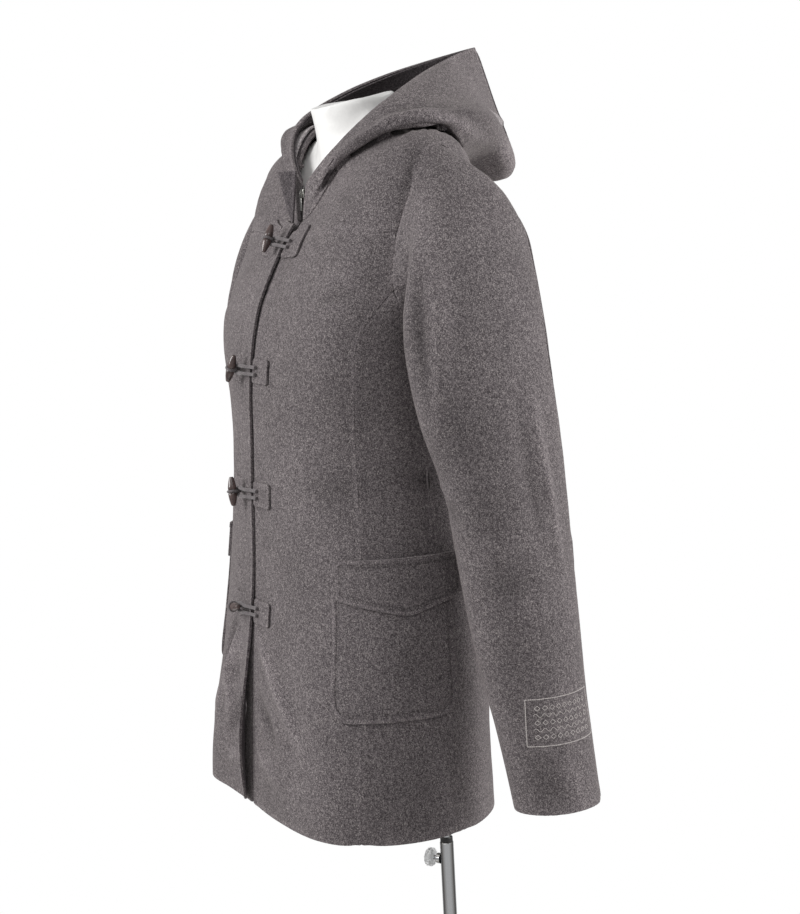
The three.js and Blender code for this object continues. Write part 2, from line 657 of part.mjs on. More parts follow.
// Points of the hood from its face edge to the neck seam. Away from the front it folds under itself.
function hoodLine(t, sign) {
  const rest = HOOD_REST;
  const neck = LEVEL['neck seam'];
  const foldAt = (column) => columnAt(HOOD_FOLD, column, t * (HOOD_FOLD.length - 1));
  const foldLevel = foldAt(sign > 0 ? 'left' : 'right');
  const hanging = smoothstep(t, rest.hangFrom, rest.hangTo);
  const face = hoodRing(HOOD_FACE, t, sign);
  const seam = hoodOnYoke(t, neck, rest.neckAbove, sign);
  const roll = hoodOnYoke(t, Math.min(foldLevel + rest.rollOut, neck), foldAt('roll'), sign);
  roll.lerp(hoodRing(HOOD_ROLL, t, sign), hanging);
  const under = hoodOnYoke(t, foldLevel, rest.underAbove, sign);
  under.lerp(hoodRing(HOOD_UNDER, t, sign), hanging);
  const sideLevel = foldLevel + Math.min(rest.restIn, (neck - foldLevel) / 2);
  const restLevel = lerp(sideLevel, rest.backLevel, hanging);
  const resting = hoodOnYoke(t, restLevel, rest.above, sign);
  const side = Math.sin(Math.PI * t);
  const trough = roll.clone().lerp(face, rest.troughShare);
  const crown = roll.clone().lerp(face, rest.crownShare);
  trough.z -= rest.trough * side;
  crown.z += rest.crown * side;
  const beforeRest = under.clone().lerp(resting, rest.restShare);
  const afterRest = hoodOnYoke(t, (restLevel + neck) / 2, rest.above, sign);
  const folded = [face, crown, trough, roll, under, beforeRest, resting, afterRest, seam];
  const isFolded = smoothstep(t, rest.foldFrom, rest.foldTo);
  return folded.map((point, k) => face.clone().lerp(seam, k / (folded.length - 1)).lerp(point, isFolded));
}

function hoodLines(sign) {
  const count = CELLS.hood * 2;
  const lines = [];
  for (let i = 0; i <= count; i += 1) lines.push(hoodLine(i / count, sign));
  lines.push(lines[count - 1].map((point) => new THREE.Vector3(-point.x, point.y, point.z)));
  return lines;
}

function hoodCells(lines, rings, inside, sign, firstLine = 0) {
  const last = lines[0].length - 1;
  const surface = (i, ring) => pointBetween(lines[Math.max(i, 0)], clamp(ring, 0, last));
  return rings.map((ring) => Array.from({ length: CELLS.hood + 1 }, (_, i) => {
    const column = Math.max(i * 2, firstLine);
    const along = surface(column + 1, ring).sub(surface(column - 1, ring));
    const down = surface(column, ring + 0.1).sub(surface(column, ring - 0.1));
    const normal = down.cross(along).normalize().multiplyScalar(sign);
    return { point: surface(column, ring).addScaledVector(normal, -inside), normal };
  }));
}

// The lining takes a shorter way through the fold, so its normals come from its own points
function withOwnNormals(cells, sign) {
  const point = (j, i) => cells[clamp(j, 0, cells.length - 1)][clamp(i, 0, CELLS.hood)].point;
  return cells.map((row, j) => row.map((cell, i) => {
    const before = cell.point.clone().sub(point(j - 1, i)).normalize();
    const after = point(j + 1, i).clone().sub(cell.point).normalize();
    const along = point(j, i + 1).clone().sub(point(j, i - 1));
    if (i === CELLS.hood) along.set(-sign, 0, 0);
    return { point: cell.point, normal: before.add(after).cross(along).normalize().multiplyScalar(sign) };
  }));
}

for (const { side, sign } of halves) {
  const lines = hoodLines(sign);
  const within = CLOTH.coat + LINING_GAP;
  const hood = hoodCells(lines, HOOD_ROWS, 0, sign);
  addPiece(`hood_${side}`, panelWall(hood, CLOTH.coat, { end: true, high: true }), wool);
  const facing = hoodCells(lines, FACING_ROWS, within, sign, 1);
  addPiece(`hood_facing_${side}`, panelWall(facing, CLOTH.lining, allSides), facingWool);
  const lining = withOwnNormals(hoodCells(lines, LINING_ROWS, within + LINING_SLACK, sign, 1), sign);
  addPiece(`hood_lining_${side}`, panelWall(lining, CLOTH.lining, allSides), fleece);
}

// Pockets and flaps, made from the coat's own points moved out

function pocketCells(shape, rows, sign, heightAt) {
  return grid(rows, CELLS.pocketAcross, (j, i) => {
    const t = i / CELLS.pocketAcross;
    const around = lerp(shape.from, shape.to, t);
    const level = levelAtZ(around, heightAt(t, j / rows));
    return { point: coatPoint(sign * around, level), normal: coatNormal(sign * around, level) };
  });
}

function pocketHeight(t, up) {
  const fromEnd = Math.min(t, 1 - t) / POCKET.corner;
  const low = POCKET.lowZ + POCKET.cornerRise * Math.max(0, 1 - fromEnd) ** 2;
  return lerp(low, POCKET.topZ, up);
}

function flapHeight(t, up) {
  const rise = t < FLAP.pointAt ? t / FLAP.pointAt : (1 - t) / (1 - FLAP.pointAt);
  return lerp(lerp(FLAP.endZ, FLAP.pointZ, rise), FLAP.topZ, up);
}

for (const { side, sign } of halves) {
  const pocket = pocketCells(POCKET, CELLS.pocketUp, sign, pocketHeight);
  addPiece(`pocket_${side}`, panelWall(pocket, CLOTH.coat, {}, POCKET_GAP), wool);
  const flap = pocketCells(FLAP, CELLS.flapUp, sign, flapHeight);
  addPiece(`pocket_flap_${side}`, panelWall(flap, CLOTH.coat, {}, CLOTH.coat + 2 * POCKET_GAP), wool);
}

// Placket, its turned-out top, and the zip behind it

function atX(x, level) {
  const around = aroundAtX(x, level);
  return { point: coatPoint(around, level), normal: coatNormal(around, level) };
}

const placketCells = grid(CELLS.placketUp, CELLS.placketAcross, (j, i) => {
  const level = lerp(PLACKET.low, PLACKET.high, j / CELLS.placketUp);
  const t = i / CELLS.placketAcross;
  const cell = atX(lerp(PLACKET.sewnX, PLACKET.freeX, t), level);
  cell.point.addScaledVector(cell.normal, columnAt(PLACKET_LIFT, 'lift', level) * t * t);
  return cell;
});
addPiece('placket', panelWall(placketCells, CLOTH.coat, {}, SEAM_GAP), wool);

function hoodEdgeY(z) {
  const up = clamp((z - THROAT.z) / (HOOD_FACE.frontZ - THROAT.z), 0, 2);
  return lerp(THROAT.y, HOOD_FACE.frontY, up);
}

const placketTopCells = grid(PLACKET_TOP.cellsUp, PLACKET_TOP.cellsAcross, (j, i) => {
  const up = j / PLACKET_TOP.cellsUp;
  const t = i / PLACKET_TOP.cellsAcross;
  const z = lerp(PLACKET_TOP.lowZ, PLACKET_TOP.highZ, up);
  const wide = lerp(PLACKET_TOP.lowWide, PLACKET_TOP.highWide, up ** PLACKET_TOP.widening);
  const y = hoodEdgeY(z) - PLACKET_TOP.out - PLACKET_TOP.turnOut * up * t;
  const point = new THREE.Vector3(PLACKET_TOP.seatX - wide * t, y, z);
  const normal = new THREE.Vector3(-PLACKET_TOP.twist * t * up, -1, 0).normalize();
  return { point, normal };
});
addPiece('placket_top', panelWall(placketTopCells, CLOTH.patch, {}), wool);

function zipCells(sign) {
  const rows = [];
  for (let k = 0; k <= CELLS.zip; k += 1) {
    const level = lerp(ZIP.lowLevel, LEVEL['neck seam'], k / CELLS.zip);
    const outer = level > LEVEL['mid shoulder'] ? ZIP.hoodOuter : ZIP.outer;
    rows.push({ point: coatPoint(0, level), normal: coatNormal(0, level), outer });
  }
  const ahead = new THREE.Vector3(0, -1, 0);
  for (let k = 1; k <= CELLS.zipTop; k += 1) {
    const z = lerp(THROAT.z, ZIP.topZ, k / CELLS.zipTop);
    rows.push({ point: new THREE.Vector3(0, hoodEdgeY(z), z), normal: ahead, outer: ZIP.hoodOuter });
  }
  return rows.map(({ point, normal, outer }) => [ZIP.inner, outer].map((x) => {
    const moved = point.clone().addScaledVector(normal, -ZIP.behind);
    return { point: new THREE.Vector3(sign * x, moved.y, moved.z), normal };
  }));
}

for (const { side, sign } of halves) {
  addPiece(`zip_tape_${side}`, panelWall(zipCells(sign), CLOTH.tape, {}), tapeCloth);
}

function addMetalBox(name, size, y, z) {
  addPiece(name, new THREE.BoxGeometry(size.wide, size.deep, size.long), metal).position.set(0, y, z);
}

const sliderY = hoodEdgeY(SLIDER.z) + ZIP.behind - SLIDER.deep / 2 - 2 * SEAM_GAP;
addMetalBox('zip_slider', SLIDER, sliderY, SLIDER.z);
const pullY = sliderY - SLIDER.deep / 2 - PULL.deep / 2 - SEAM_GAP;
addMetalBox('zip_pull', PULL, pullY, SLIDER.z - PULL.long / 2 + PULL.over);

// Toggles, their loops and the patches that hold them

function patchWall([fromX, toX], z) {
  const cells = grid(CELLS.patch, CELLS.patch, (j, i) => {
    const level = levelAtZ(0, z + PATCH.high * (j / CELLS.patch - 0.5));
    return atX(lerp(fromX, toX, i / CELLS.patch), level);
  });
  return panelWall(cells, CLOTH.patch, {}, PATCH.above);
}

function tubeAlong(points, thick, steps) {
  const curve = new THREE.CatmullRomCurve3(points, false, 'centripetal');
  const section = new THREE.Shape();
  for (let k = 0; k < CORD_SIDES; k += 1) {
    const angle = (2 * Math.PI * (k + 0.5)) / CORD_SIDES;
    const x = (thick / 2) * Math.cos(angle);
    const y = (thick / 2) * Math.sin(angle);
    if (k === 0) section.moveTo(x, y);
    else section.lineTo(x, y);
  }
  return new THREE.ExtrudeGeometry(section, { steps, extrudePath: curve, bevelEnabled: false });
}

function toggleGeometry() {
  const profile = TOGGLE_STATIONS.map(({ at, radius }) => (
    new THREE.Vector2(radius * TOGGLE.thick, at * TOGGLE.long)));
  return new THREE.LatheGeometry(profile, TOGGLE_SIDES);
}

TOGGLES.forEach((place, k) => {
  const name = k + 1;
  const level = levelAtZ(0, place.z);
  const front = coatPoint(0, level);
  const outward = coatNormal(0, level);
  const upward = outward.clone().cross(new THREE.Vector3(1, 0, 0)).normalize();
  const at = (x, out, rise) => {
    const point = front.clone().addScaledVector(outward, out).addScaledVector(upward, rise);
    return point.setX(x);
  };
  addPiece(`patch_left_${name}`, patchWall(PATCH.left, place.z), wool);
  addPiece(`patch_right_${name}`, patchWall(PATCH.right, place.z), wool);
  const toggle = addPiece(`toggle_${name}`, toggleGeometry(), horn);
  toggle.position.copy(at(place.x, TOGGLE.out, 0));
  const swing = degToRad(place.swing);
  const along = upward.clone().lerp(new THREE.Vector3(0, 0, 1), place.hang);
  along.setLength(Math.cos(swing)).setX(Math.sin(swing)).normalize();
  toggle.quaternion.setFromUnitVectors(new THREE.Vector3(0, 1, 0), along);
  const strand = (rise) => [
    at(LOOP.sewnX, LOOP.seatOut, rise),
    at(LOOP.bendX, LOOP.bendOut, rise),
    at(LOOP.riseX, LOOP.rideOut, rise),
    at(place.x, LOOP.rideOut, rise),
  ];
  const end = at(place.x - LOOP.past, LOOP.rideOut, 0);
  const loop = [...strand(LOOP.apart), end, ...strand(-LOOP.apart).reverse()];
  addPiece(`toggle_loop_${name}`, tubeAlong(loop, LOOP.thick, LOOP.steps), loopCloth);
  const cord = [
    at(CORD.sewnX, CORD.seatOut, 0),
    at(CORD.coverX, CORD.coverOut, 0),
    at(place.x - CORD.turnBefore, CORD.underOut, 0),
    at(place.x, CORD.turnOut, 0),
    at(place.x, CORD.endOut, 0),
  ];
  addPiece(`toggle_cord_${name}`, tubeAlong(cord, CORD.thick, CORD.steps), loopCloth);
});

// Torso form

function formPoint(around, k) {
  const level = lerp(FORM.lowLevel, LEVEL['neck seam'], k / FORM.rows);
  const point = plainPoint(around, level);
  const facing = Math.cos(degToRad(around)) ** 2;
  const shoulder = smoothstep(level, LEVEL.bust, LEVEL['shoulder tip']);
  const inset = lerp(FORM.low, lerp(FORM.side, FORM.front, facing), shoulder);
  point.addScaledVector(plainNormal(around, level), -inset);
  if (k === 0) point.z = FORM.lowZ;
  return point;
}

function formGeometry() {
  const rings = [];
  const columns = CELLS.form;
  const ring = (at) => Array.from({ length: columns }, (_, i) => at(-180 + (360 * i) / columns));
  for (let k = 0; k <= FORM.rows; k += 1) rings.push(ring((around) => formPoint(around, k)));
  for (const row of NECK) {
    const oval = { ...row, round: 1, roundBack: 1 };
    rings.push(ring((around) => ringPoint(oval, around)));
  }
  const triangles = [];
  for (let j = 0; j + 1 < rings.length; j += 1) {
    for (let i = 0; i < columns; i += 1) {
      const next = (i + 1) % columns;
      quad(triangles, rings[j][i], rings[j][next], rings[j + 1][next], rings[j + 1][i]);
    }
  }
  const cap = (points, reversed) => {
    const middle = points.reduce((sum, point) => sum.add(point), new THREE.Vector3());
    middle.divideScalar(points.length);
    points.forEach((point, i) => {
      const next = points[(i + 1) % points.length];
      triangles.push(reversed ? [middle, next, point] : [middle, point, next]);
    });
  };
  cap(rings[0], true);
  cap(rings[rings.length - 1], false);
  return closedMesh(triangles);
}

addPiece('torso_form', formGeometry(), shell);

// Stand: heavy round base, outer tube with its collar, inner rod and clamp screw

function turned(profile, sides = STAND.sides) {
  const points = profile.map(([radius, z]) => new THREE.Vector2(radius, z));
  return new THREE.LatheGeometry(points, sides).rotateX(Math.PI / 2);
}

const { baseRadius, baseThick, hubRadius, hubHigh, rodRadius, rodLow } = STAND;
const { tubeRadius, tubeBore, tubeHigh } = STAND;
addPiece('stand_base', turned([
  [0, 0],
  [baseRadius - 2, 0],
  [baseRadius, 3],
  [baseRadius - 3, 9],
  [baseRadius - 12, baseThick],
  [hubRadius, baseThick],
  [hubRadius - 4, hubHigh],
  [0, hubHigh],
], STAND.baseSides), chrome, product);
const tubeLow = hubHigh + STAND.gap;
addPiece('stand_tube', turned([
  [tubeBore, tubeLow],
  [tubeRadius, tubeLow],
  [tubeRadius, tubeHigh],
  [tubeBore, tubeHigh],
  [tubeBore, tubeLow],
]), chrome, product);
const rodTop = FORM.lowZ - SEAM_GAP;
addPiece('stand_rod', turned([
  [0, rodLow],
  [rodRadius, rodLow],
  [rodRadius, rodTop],
  [0, rodTop],
]), chrome, product);

const screw = new THREE.Group();
screw.position.z = SCREW.z;
screw.rotation.z = degToRad(SCREW.turn);
product.add(screw);

const alongX = (profile) => turned(profile, SCREW.sides).rotateY(Math.PI / 2);

const bossFrom = tubeRadius + STAND.gap;
const bossTo = bossFrom + SCREW.bossLong;
addPiece('clamp_boss', alongX([
  [0, bossFrom],
  [SCREW.bossRadius, bossFrom],
  [SCREW.bossRadius, bossTo],
  [0, bossTo],
]), chrome, screw);
const boltFrom = bossTo + STAND.gap;
const knobFrom = boltFrom + SCREW.boltLong;
const knobTo = knobFrom + SCREW.knobLong;
addPiece('clamp_screw', alongX([
  [0, boltFrom],
  [SCREW.boltRadius, boltFrom],
  [SCREW.boltRadius, knobFrom],
  [SCREW.knobRadius, knobFrom],
  [SCREW.knobRadius, knobTo],
  [0, knobTo],
]), clearPlastic, screw);

export default product;
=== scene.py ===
import math
import random

import bmesh
import bpy
import numpy as np
from mathutils import Matrix, Quaternion, Vector, noise
from mathutils.bvhtree import BVHTree
from mathutils.kdtree import KDTree


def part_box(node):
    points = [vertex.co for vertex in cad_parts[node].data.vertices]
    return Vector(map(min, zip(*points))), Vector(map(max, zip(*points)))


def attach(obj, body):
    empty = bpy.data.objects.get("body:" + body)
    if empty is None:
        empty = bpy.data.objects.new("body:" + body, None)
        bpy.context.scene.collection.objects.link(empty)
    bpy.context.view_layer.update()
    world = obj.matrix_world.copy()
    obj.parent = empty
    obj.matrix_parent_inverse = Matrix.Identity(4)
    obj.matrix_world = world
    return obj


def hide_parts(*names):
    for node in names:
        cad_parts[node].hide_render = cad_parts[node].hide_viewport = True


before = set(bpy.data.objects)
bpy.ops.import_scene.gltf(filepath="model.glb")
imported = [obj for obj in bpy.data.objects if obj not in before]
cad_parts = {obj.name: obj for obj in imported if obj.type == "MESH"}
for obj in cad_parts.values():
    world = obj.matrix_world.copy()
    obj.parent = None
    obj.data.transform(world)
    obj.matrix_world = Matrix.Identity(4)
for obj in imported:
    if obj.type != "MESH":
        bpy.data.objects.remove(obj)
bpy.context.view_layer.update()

# A hooded duffle coat of marled wool on a white torso form and its stand.
# Metres, the floor at z = 0. The coat's front faces -Y, the wearer's left is +X.

mm = 0.001
random.seed(11)
sides = {"left": 1, "right": -1}


# Camera, at the angle of the photograph

view = {
    "azimuth": 63.0,
    "elevation": 8.5,
    "turn": 3.0,            # degrees that the picture is turned counterclockwise
    "distance": 1.9,
    "lookAt": (0, -0.034, 1.14),
    "lens": 68.03,
    "sensor": 36,
}


def makeCamera():
    azimuth = math.radians(view["azimuth"])
    elevation = math.radians(view["elevation"])
    back = Vector((math.sin(azimuth), -math.cos(azimuth), 0)) * math.cos(elevation)
    back.z = math.sin(elevation)
    data = bpy.data.cameras.new("camera")
    data.lens = view["lens"]
    data.sensor_width = view["sensor"]
    camera = bpy.data.objects.new("camera", data)
    bpy.context.collection.objects.link(camera)
    camera.location = Vector(view["lookAt"]) + back * view["distance"]
    camera.rotation_mode = "QUATERNION"
    roll = Quaternion((0, 0, 1), -math.radians(view["turn"]))
    camera.rotation_quaternion = back.to_track_quat("Z", "Y") @ roll
    bpy.context.scene.camera = camera


makeCamera()
print("camera in place")


# Materials

def linear(hexColour):
    channels = [int(hexColour[k:k + 2], 16) / 255 for k in (1, 3, 5)]
    return [c / 12.92 if c <= 0.04045 else ((c + 0.055) / 1.055) ** 2.4 for c in channels] + [1]


def addNode(tree, kind, settings={}, values={}, links={}):
    node = tree.nodes.new(kind)
    for name, value in settings.items():
        setattr(node, name, value)
    for name, value in values.items():
        node.inputs[name].default_value = value
    for name, socket in links.items():
        tree.links.new(socket, node.inputs[name])
    return node


def shades(node, stops):
    ramp = node.color_ramp
    while len(ramp.elements) < len(stops):
        ramp.elements.new(0.5)
    for element, (at, colour) in zip(ramp.elements, stops):
        element.position = at
        element.color = linear(colour) if isinstance(colour, str) else (colour, colour, colour, 1)


def newMaterial(name, look):
    material = bpy.data.materials.new(name)
    material.use_nodes = True
    shader = material.node_tree.nodes["Principled BSDF"]
    for socket, value in look.items():
        shader.inputs[socket].default_value = value
    return material, material.node_tree, shader


def perMillimetre(size):
    """Noise scale whose grains are this many millimetres"""
    return 1 / (size * mm)


# Melton wool: dark and pale fibres spun together, milled and brushed. It takes light softly
# and shows a salt-and-pepper grain; its ridges and edges are painted paler as painted highlight, and its
# grooves darker as painted shade. The real grain is about 0.6 mm, drawn 1.5 mm so that it shows.
meltonLook = {
    "dark": "#383335", "middle": "#5f595b", "pale": "#8c8585", "fleck": "#aaa39f",
    "grain": 1.15, "fibre": 2.9, "cloud": 75, "cloudDark": 0.86, "cloudPale": 1.08,
    "bump": 0.55, "depth": 0.5, "fleckFrom": 0.63, "fleckTo": 0.71,
}
# Painted shade: a darker copy of the same melton, put on the inner walls of the cloth, the hood facings and the
# turned-out placket top, where they lie in shade
paintedShadeMeltonLook = dict(meltonLook, dark="#2f2b2d", middle="#4a4547", pale="#696365", fleck="#817b7c")
# Brushed fleece: paler, softer and coarser in its marl
fleeceLook = dict(meltonLook, dark="#5d5859", middle="#857f80", pale="#b0aaaa", fleck="#c8c3c2",
                  grain=2.2, fibre=5, depth=0.9)


def marledCloth(name, look):
    surface = {"Roughness": 0.95, "Specular IOR Level": 0.2, "Sheen Weight": 0.35, "Sheen Roughness": 0.5}
    material, tree, shader = newMaterial(name, surface)
    shader.inputs["Sheen Tint"].default_value = linear(look["fleck"])
    place = addNode(tree, "ShaderNodeTexCoord").outputs["Object"]
    grain = addNode(tree, "ShaderNodeTexNoise", links={"Vector": place},
                    values={"Scale": perMillimetre(look["grain"]), "Detail": 2.0, "Roughness": 0.7})
    fibre = addNode(tree, "ShaderNodeTexNoise", links={"Vector": place},
                    values={"Scale": perMillimetre(look["fibre"]), "Detail": 4.0, "Roughness": 0.65})
    cloud = addNode(tree, "ShaderNodeTexNoise", links={"Vector": place},
                    values={"Scale": perMillimetre(look["cloud"]), "Detail": 3.0, "Roughness": 0.55})
    both = addNode(tree, "ShaderNodeMix", links={2: grain.outputs["Fac"], 3: fibre.outputs["Fac"]}, values={0: 0.35})
    marl = addNode(tree, "ShaderNodeValToRGB", links={"Fac": both.outputs[0]})
    shades(marl, [(0.38, look["dark"]), (0.5, look["middle"]), (0.62, look["pale"])])
    fleck = addNode(tree, "ShaderNodeMapRange", links={"Value": grain.outputs["Fac"]},
                    values={"From Min": look["fleckFrom"], "From Max": look["fleckTo"]})
    flecked = addNode(tree, "ShaderNodeMix", {"data_type": "RGBA"}, {7: linear(look["fleck"])},
                      {0: fleck.outputs["Result"], 6: marl.outputs["Color"]})
    worn = addNode(tree, "ShaderNodeValToRGB", links={"Fac": cloud.outputs["Fac"]})
    shades(worn, [(0.3, look["cloudDark"]), (0.7, look["cloudPale"])])
    toned = addNode(tree, "ShaderNodeMix", {"data_type": "RGBA", "blend_type": "MULTIPLY"}, {0: 1.0},
                    {6: flecked.outputs[2], 7: worn.outputs["Color"]})
    # Painted light: ridges and rounded edges are painted paler (painted highlight where the nap catches light), grooves
    # and troughs darker (painted shade), from a per-point value laid down with the folds
    paintedLight = addNode(tree, "ShaderNodeAttribute", {"attribute_name": "paintedLight"})
    tone = addNode(tree, "ShaderNodeMapRange", links={"Value": paintedLight.outputs["Fac"]},
                   values={"From Min": -1.0, "From Max": 1.0, "To Min": 0.62, "To Max": 1.38})
    paintedLightColour = addNode(tree, "ShaderNodeVectorMath", {"operation": "SCALE"},
                    links={0: toned.outputs[2], "Scale": tone.outputs["Result"]})
    tree.links.new(paintedLightColour.outputs["Vector"], shader.inputs["Base Color"])
    nap = addNode(tree, "ShaderNodeBump", values={"Strength": look["bump"], "Distance": look["depth"] * mm},
                  links={"Height": both.outputs[0]})
    tree.links.new(nap.outputs["Normal"], shader.inputs["Normal"])
    return material


def wovenTape(name, colour, paler, thread):
    # Polyester herringbone tape: dull, with a fine rib across it
    material, tree, shader = newMaterial(name, {"Roughness": 0.8, "Specular IOR Level": 0.3})
    place = addNode(tree, "ShaderNodeTexCoord").outputs["Object"]
    rib = addNode(tree, "ShaderNodeTexWave", {"bands_direction": "Z"}, links={"Vector": place},
                  values={"Scale": 1 / (thread * mm * 6.28), "Distortion": 1.5, "Detail": 1.0})
    ramp = addNode(tree, "ShaderNodeValToRGB", links={"Fac": rib.outputs["Fac"]})
    shades(ramp, [(0.2, colour), (0.8, paler)])
    tree.links.new(ramp.outputs["Color"], shader.inputs["Base Color"])
    bump = addNode(tree, "ShaderNodeBump", values={"Strength": 0.5, "Distance": 0.2 * mm},
                   links={"Height": rib.outputs["Fac"]})
    tree.links.new(bump.outputs["Normal"], shader.inputs["Normal"])
    return material


def speckled(name, look, colours, grain, bump, roughSpread=0.08):
    # One noise tints the surface and breaks its gloss a little
    material, tree, shader = newMaterial(name, look)
    place = addNode(tree, "ShaderNodeTexCoord").outputs["Object"]
    spots = addNode(tree, "ShaderNodeTexNoise", links={"Vector": place},
                    values={"Scale": perMillimetre(grain), "Detail": 4.0, "Roughness": 0.6})
    ramp = addNode(tree, "ShaderNodeValToRGB", links={"Fac": spots.outputs["Fac"]})
    shades(ramp, [(0.35, colours[0]), (0.65, colours[1])])
    tree.links.new(ramp.outputs["Color"], shader.inputs["Base Color"])
    rough = look["Roughness"]
    gloss = addNode(tree, "ShaderNodeMapRange", links={"Value": spots.outputs["Fac"]},
                    values={"To Min": rough - roughSpread, "To Max": rough + roughSpread})
    tree.links.new(gloss.outputs["Result"], shader.inputs["Roughness"])
    texture = addNode(tree, "ShaderNodeBump", values={"Strength": 0.3, "Distance": bump * mm},
                      links={"Height": spots.outputs["Fac"]})
    tree.links.new(texture.outputs["Normal"], shader.inputs["Normal"])
    return material


melton = marledCloth("melton wool, brushed", meltonLook)
paintedShadeMelton = marledCloth("melton wool, darkened as painted shade", paintedShadeMeltonLook)
fleece = marledCloth("brushed fleece", fleeceLook)
tape = wovenTape("woven polyester tape", "#191513", "#2d2624", 0.7)
# Cast polyester made to look like horn: dark brown-grey, polished, paler where it is thin
horn = speckled("cast polyester horn", {"Roughness": 0.28, "Coat Weight": 0.4, "Coat Roughness": 0.15},
                ["#352a29", "#5d4c49"], 6, 0.05)
# Covered cord, hard and a little ribbed
cordCloth = speckled("wool-covered cord", {"Roughness": 0.9, "Sheen Weight": 0.3}, ["#4a4547", "#756e6f"], 1.2, 0.4)
# Mercerised cotton thread, slightly glossy
thread = speckled("cotton sewing thread", {"Roughness": 0.6}, ["#4a4547", "#6b6567"], 1.0, 0.1)
paleThread = speckled("viscose embroidery thread", {"Roughness": 0.5, "Sheen Weight": 0.3},
                      ["#a8a09d", "#cfc9c5"], 1.0, 0.1)
nickel = speckled("nickel plate, satin", {"Roughness": 0.3, "Metallic": 1.0}, ["#6f6e6d", "#96958f"], 3, 0.03)
# Glass-fibre shell, sprayed satin white: smooth with a faint orange peel
satinShell = speckled("sprayed glass-fibre shell", {"Roughness": 0.38, "Coat Weight": 0.15},
                      ["#f0efed", "#f7f6f4"], 9, 0.06, 0.04)


def makeChrome():
    # Polished plate: its base colour is painted in bands by the facing angle, a painted reflection of the white studio
    # and of the dark between its lamps toward the edges
    material, tree, shader = newMaterial("chrome plate, polished", {"Roughness": 0.1, "Metallic": 1.0})
    turn = addNode(tree, "ShaderNodeLayerWeight", values={"Blend": 0.5})
    ramp = addNode(tree, "ShaderNodeValToRGB", links={"Fac": turn.outputs["Facing"]})
    shades(ramp, [(0.1, "#e6e7e9"), (0.3, "#a3a19f"), (0.5, "#4a4745"), (0.66, "#c9cacc"), (0.9, "#6e6c6a")])
    tree.links.new(ramp.outputs["Color"], shader.inputs["Base Color"])
    return material


chrome = makeChrome()
frosted = speckled("clear acrylic, frosted", {"Roughness": 0.3, "Transmission Weight": 0.55, "IOR": 1.49},
                   ["#eceded", "#f9f9fa"], 5, 0.05)
blackPlastic = speckled("black nylon", {"Roughness": 0.5}, ["#161515", "#232121"], 2, 0.05)
print("materials ready")


# Making and finishing pieces

def newObject(name, mesh, materials):
    piece = bpy.data.objects.new(name, mesh)
    bpy.context.collection.objects.link(piece)
    for material in materials:
        mesh.materials.append(material)
    return piece


def meshFrom(bm, name):
    mesh = bpy.data.meshes.new(name)
    bm.to_mesh(mesh)
    bm.free()
    mesh.shade_smooth()
    return mesh


def finishPiece(name, mesh, materials, body, replaced=()):
    piece = newObject(name, mesh, materials)
    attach(piece, body)
    if replaced:
        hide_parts(*replaced)
    return piece


def arrays(mesh):
    points = np.zeros(len(mesh.vertices) * 3)
    mesh.vertices.foreach_get("co", points)
    return points.reshape(-1, 3)


def evaluated(piece):
    return bpy.data.meshes.new_from_object(piece.evaluated_get(bpy.context.evaluated_depsgraph_get()))


# Smoothing draws a curved wall in. Each corner is moved out by what it lost, but for this much,
# in mm, which keeps the edges round.
kept = {"rounding": 0.6, "turns": 2}


def subdivided(bm, name, levels):
    """The mesh smoothed by a Subdivision Surface modifier, and then kept"""
    piece = newObject(name, meshFrom(bm, name), [])
    smoothing = piece.modifiers.new("smooth", "SUBSURF")
    smoothing.levels = levels
    smoothing.render_levels = levels
    wanted = arrays(piece.data)
    for turn in range(kept["turns"]):
        made = evaluated(piece)
        lost = wanted - arrays(made)[:len(wanted)]
        far = np.linalg.norm(lost, axis=1, keepdims=True)
        lost *= np.maximum(0, 1 - kept["rounding"] * mm / np.maximum(far, 1e-6))
        piece.data.vertices.foreach_set("co", (arrays(piece.data) + lost).ravel())
        piece.data.update()
        bpy.data.meshes.remove(made)
    mesh = evaluated(piece)
    bpy.data.objects.remove(piece)
    mesh.shade_smooth()
    return mesh


def mergedCopy(node, wide=50):
    """A copy of a CAD mesh with its corners merged and its pairs of triangles made quads"""
    bm = bmesh.new()
    bm.from_mesh(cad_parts[node].data)
    bmesh.ops.remove_doubles(bm, verts=bm.verts[:], dist=0.01 * mm)
    bmesh.ops.join_triangles(bm, faces=bm.faces[:], angle_face_threshold=math.radians(wide),
                             angle_shape_threshold=math.radians(89))
    bm.normal_update()
    return bm


# Cloth panels: each is a copy of its CAD wall, with rounded edges, creases and a little slack.
# thick is the wall in mm, smooth the levels of subdivision. flat is the cut's width and length
# and area its flat area, in metres. border is a row of stitching pressed in, mm from the edge.

outer, inner, rim = 0, 1, 2
bodyMiddle = (0, -0.1, 0)
edgeRound = 1.1          # mm from a panel's edge to where it starts to round over

